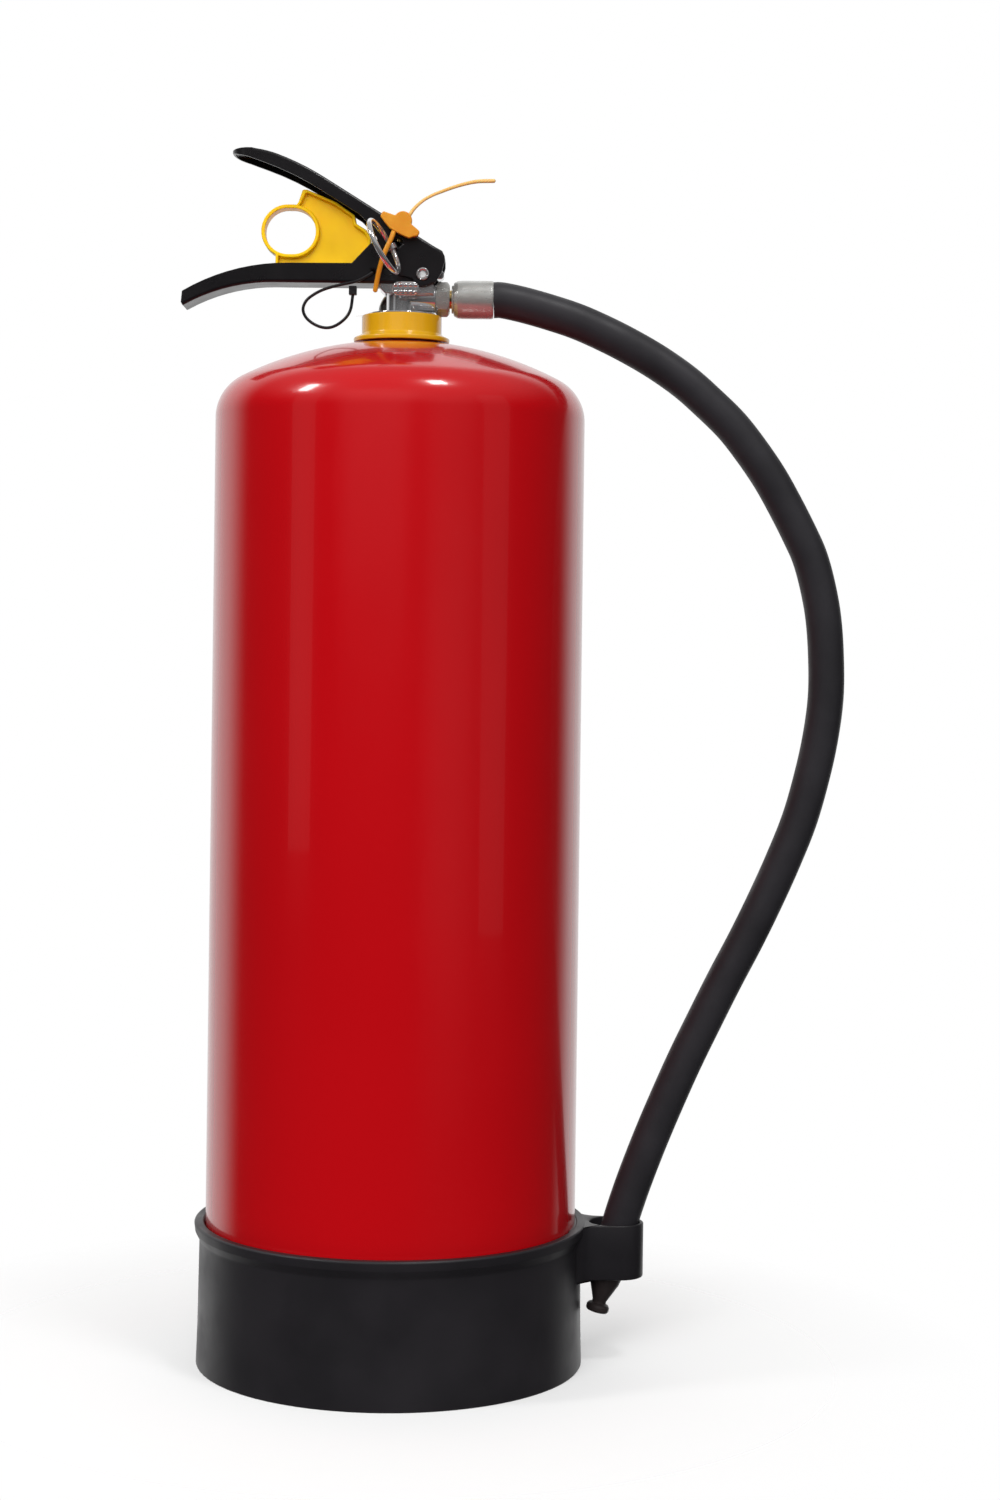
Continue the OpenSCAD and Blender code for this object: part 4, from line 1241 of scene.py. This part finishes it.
@dataclass
class Grip:
    """Pressed steel lever and handle with their rivets, pin, ring and yellow clip."""

    lever_half: float = 12.5
    handle_half: float = 10.7
    pivot: Point2 = (10.3, 528.7)
    pin: Point3 = (-5.0, -15.2, 541.0)
    ring_mid: float = 13.7
    ring_wire: float = 1.3

    def folded(self, half: float, upper: bool) -> Callable[[Edge], bool]:
        """A test for the long outer fold edges of a channel.

        Args:
            half: Half width outside the cheeks.
            upper: Whether the web is on top, as on the lever.

        Returns:
            The test, for edges of the CAD mesh.
        """
        def test(edge: Edge) -> bool:
            """True for an edge between the web and a cheek."""
            if any(abs(abs(v.co.y) - half * MM) > ON_CHEEK for v in edge.verts):
                return False
            if len({v.co.y > 0 for v in edge.verts}) > 1:
                return False
            web = [f for f in edge.link_faces if abs(f.normal.y) < 0.3]
            return len(web) == 1 and (web[0].normal.z > 0.3 if upper else web[0].normal.z < -0.5)

        return test

    def channels(self) -> None:
        """Makes the lever and the handle, with the rounded folds of bent sheet."""
        lever = softened("squeeze_grip", "squeeze_lever", 0.28, 2,
                         self.folded(self.lever_half, True), 1.5)
        settle(lever, BLACK_COAT, "lever", ["squeeze_lever"])
        handle = softened("carry_grip", "carry_handle", 0.28, 2,
                          self.folded(self.handle_half, False), 1.6)
        settle(handle, BLACK_COAT, "root", ["carry_handle"])

    def rivets(self) -> None:
        """Makes the hollow pivot rivet with its rolled ends."""
        reach = self.lever_half + 0.9
        corners = [(2.5, -reach + 0.8, 0.1), (3.05, -reach + 0.75, 0.2), (3.1, -reach + 0.15, 0.35),
                   (2.4, -reach, 0.3), (1.7, -reach + 0.5, 0.4), (1.55, -reach + 2.2, 0.4),
                   (1.55, reach - 2.2, 0.4), (1.7, reach - 0.5, 0.4), (2.4, reach, 0.3),
                   (3.1, reach - 0.15, 0.35), (3.05, reach - 0.75, 0.2), (2.5, reach - 0.8, 0.1)]
        piece = lathe("pivot_eyelet", rounded(corners), along("Y", self.pivot[0], 0, self.pivot[1]),
                      56)
        settle(piece, RIVET_CHROME, "root", ["pivot_rivet"])

    def pin_and_ring(self) -> None:
        """Makes the safety pin and its pull ring."""
        settle(softened("locking_pin", "safety_pin", 0.25, 3), RING_CHROME, "pin",
               ["safety_pin"])
        x, y, z = self.pin
        place = (Matrix.Translation((x, y, z)) @ Matrix.Rotation(math.radians(-27), 4, "Y")
                 @ Matrix.Rotation(math.radians(-14), 4, "Z")
                 @ Matrix.Translation((0, -self.ring_mid, 0))
                 @ Matrix.Rotation(math.pi / 2, 4, "Y"))
        section = arc((self.ring_mid, 0), self.ring_wire, 0, 360, 28)[:-1]
        settle(lathe("finger_ring", section, place, 112), RING_CHROME, "ring", ["pull_ring"])

    def clip(self) -> None:
        """Makes the moulded clip with its raised rim."""
        settle(softened("lock_clip", "safety_clip", 0.55, 3, sharp=38), CLIP_PLASTIC, "clip",
               ["safety_clip"])

    def make(self) -> None:
        """Makes all of it."""
        self.channels()
        self.rivets()
        self.pin_and_ring()
        self.clip()


# ---- The tamper seal and the tie ----

@dataclass
class Seal:
    """Moulded orange seal with its strand and tail, and the black nylon tie.

    Radii are in metres; the tail narrows by a share, in a waist that ends before its end.
    """

    strand_r: float = 0.0012
    tail_r: float = 0.0010
    tail_waist: float = 0.22
    tail_reach: float = 1.15
    tie_r: float = 0.00075
    strand_route: list[Point3] = field(default_factory=lambda: [
        (-3.6, -18, 548.6), (-4.7, -19.3, 545.2), (-6, -20.2, 542), (-8, -20.2, 537.5),
        (-9.6, -18.6, 533), (-10.8, -16.8, 528.5), (-11.8, -15.2, 524), (-12.7, -13.8, 519.3)])
    tail_route: list[Point3] = field(default_factory=lambda: [
        (3.4, -17.4, 555.8), (4.2, -17.4, 557), (6.2, -17.2, 559.8), (9.9, -16.8, 563.3),
        (14, -16.2, 565.9), (18.6, -15.6, 568), (27.2, -14.6, 571.3), (35.8, -13.8, 573.5),
        (45.1, -13, 574.1)])
    tie_route: list[Point3] = field(default_factory=lambda: [
        (-13.8, -11.8, 529.2), (-18, -12, 526.6), (-22.6, -12.2, 524.6), (-31, -12.3, 522.6),
        (-37.5, -12.3, 520.6), (-42.5, -12.2, 518), (-46, -12, 515), (-47.5, -11.8, 511),
        (-46, -11.6, 507), (-42, -11.4, 503.8), (-37, -11.3, 502.2), (-32.3, -11.2, 503),
        (-27.5, -11.1, 506.4), (-24.6, -11, 511), (-23.5, -11, 518.2)])

    def strand(self) -> None:
        """Makes the seal's body, strand and tail."""
        settle(softened("seal_button", "tamper_seal", 0.6, 4), SEAL_PLASTIC, "pin",
               ["tamper_seal"])
        line, thick = round_end(smooth_line(self.strand_route, 5), self.strand_r)
        piece = swept("seal_loop", line, self.strand_r, 18, SEAL_PLASTIC, thick)
        settle(piece, SEAL_PLASTIC, "pin", ["seal_strand"])
        line, thick = round_end(smooth_line(self.tail_route, 6), self.tail_r)
        waist = [math.sin(math.pi * min(1.0, i / len(line) * self.tail_reach))
                 for i in range(len(line))]
        thick = [t * (1.0 - self.tail_waist * w) for t, w in zip(thick, waist)]
        piece = swept("seal_end", line, self.tail_r, 18, TAIL_PLASTIC, thick)
        settle(piece, TAIL_PLASTIC, "pin", ["seal_tail"])

    def tie(self) -> None:
        """Makes the nylon tie, a cord of about 0.08 m, and its ratchet head."""
        head = softened("tie_lock", "tie_head", 0.45, 3)
        settle(head, TIE_NYLON, "root", ["tie_head"])
        line = smooth_line(self.tie_route, 6)
        piece = swept("nylon_tie", line, self.tie_r, 16, TIE_NYLON)
        settle(piece, TIE_NYLON, "root", ["tie_loop"])
        log.info("tie: %.3f m", line_length(line))

    def make(self) -> None:
        """Makes all of it."""
        self.strand()
        self.tie()


def main() -> None:
    """Builds the scene, the camera and the cords first."""
    logging.basicConfig(level=logging.INFO, format="%(name)s %(message)s")
    bpy.context.scene.view_settings.view_transform = "Standard"
    studio = Studio()
    studio.camera()
    for part in (Hose, Seal, Cylinder, Skirt, Valve, Gauge, Grip):
        part().make()
    studio.world()
    studio.lights()
    studio.floor()


if __name__ == "__main__":
    main()
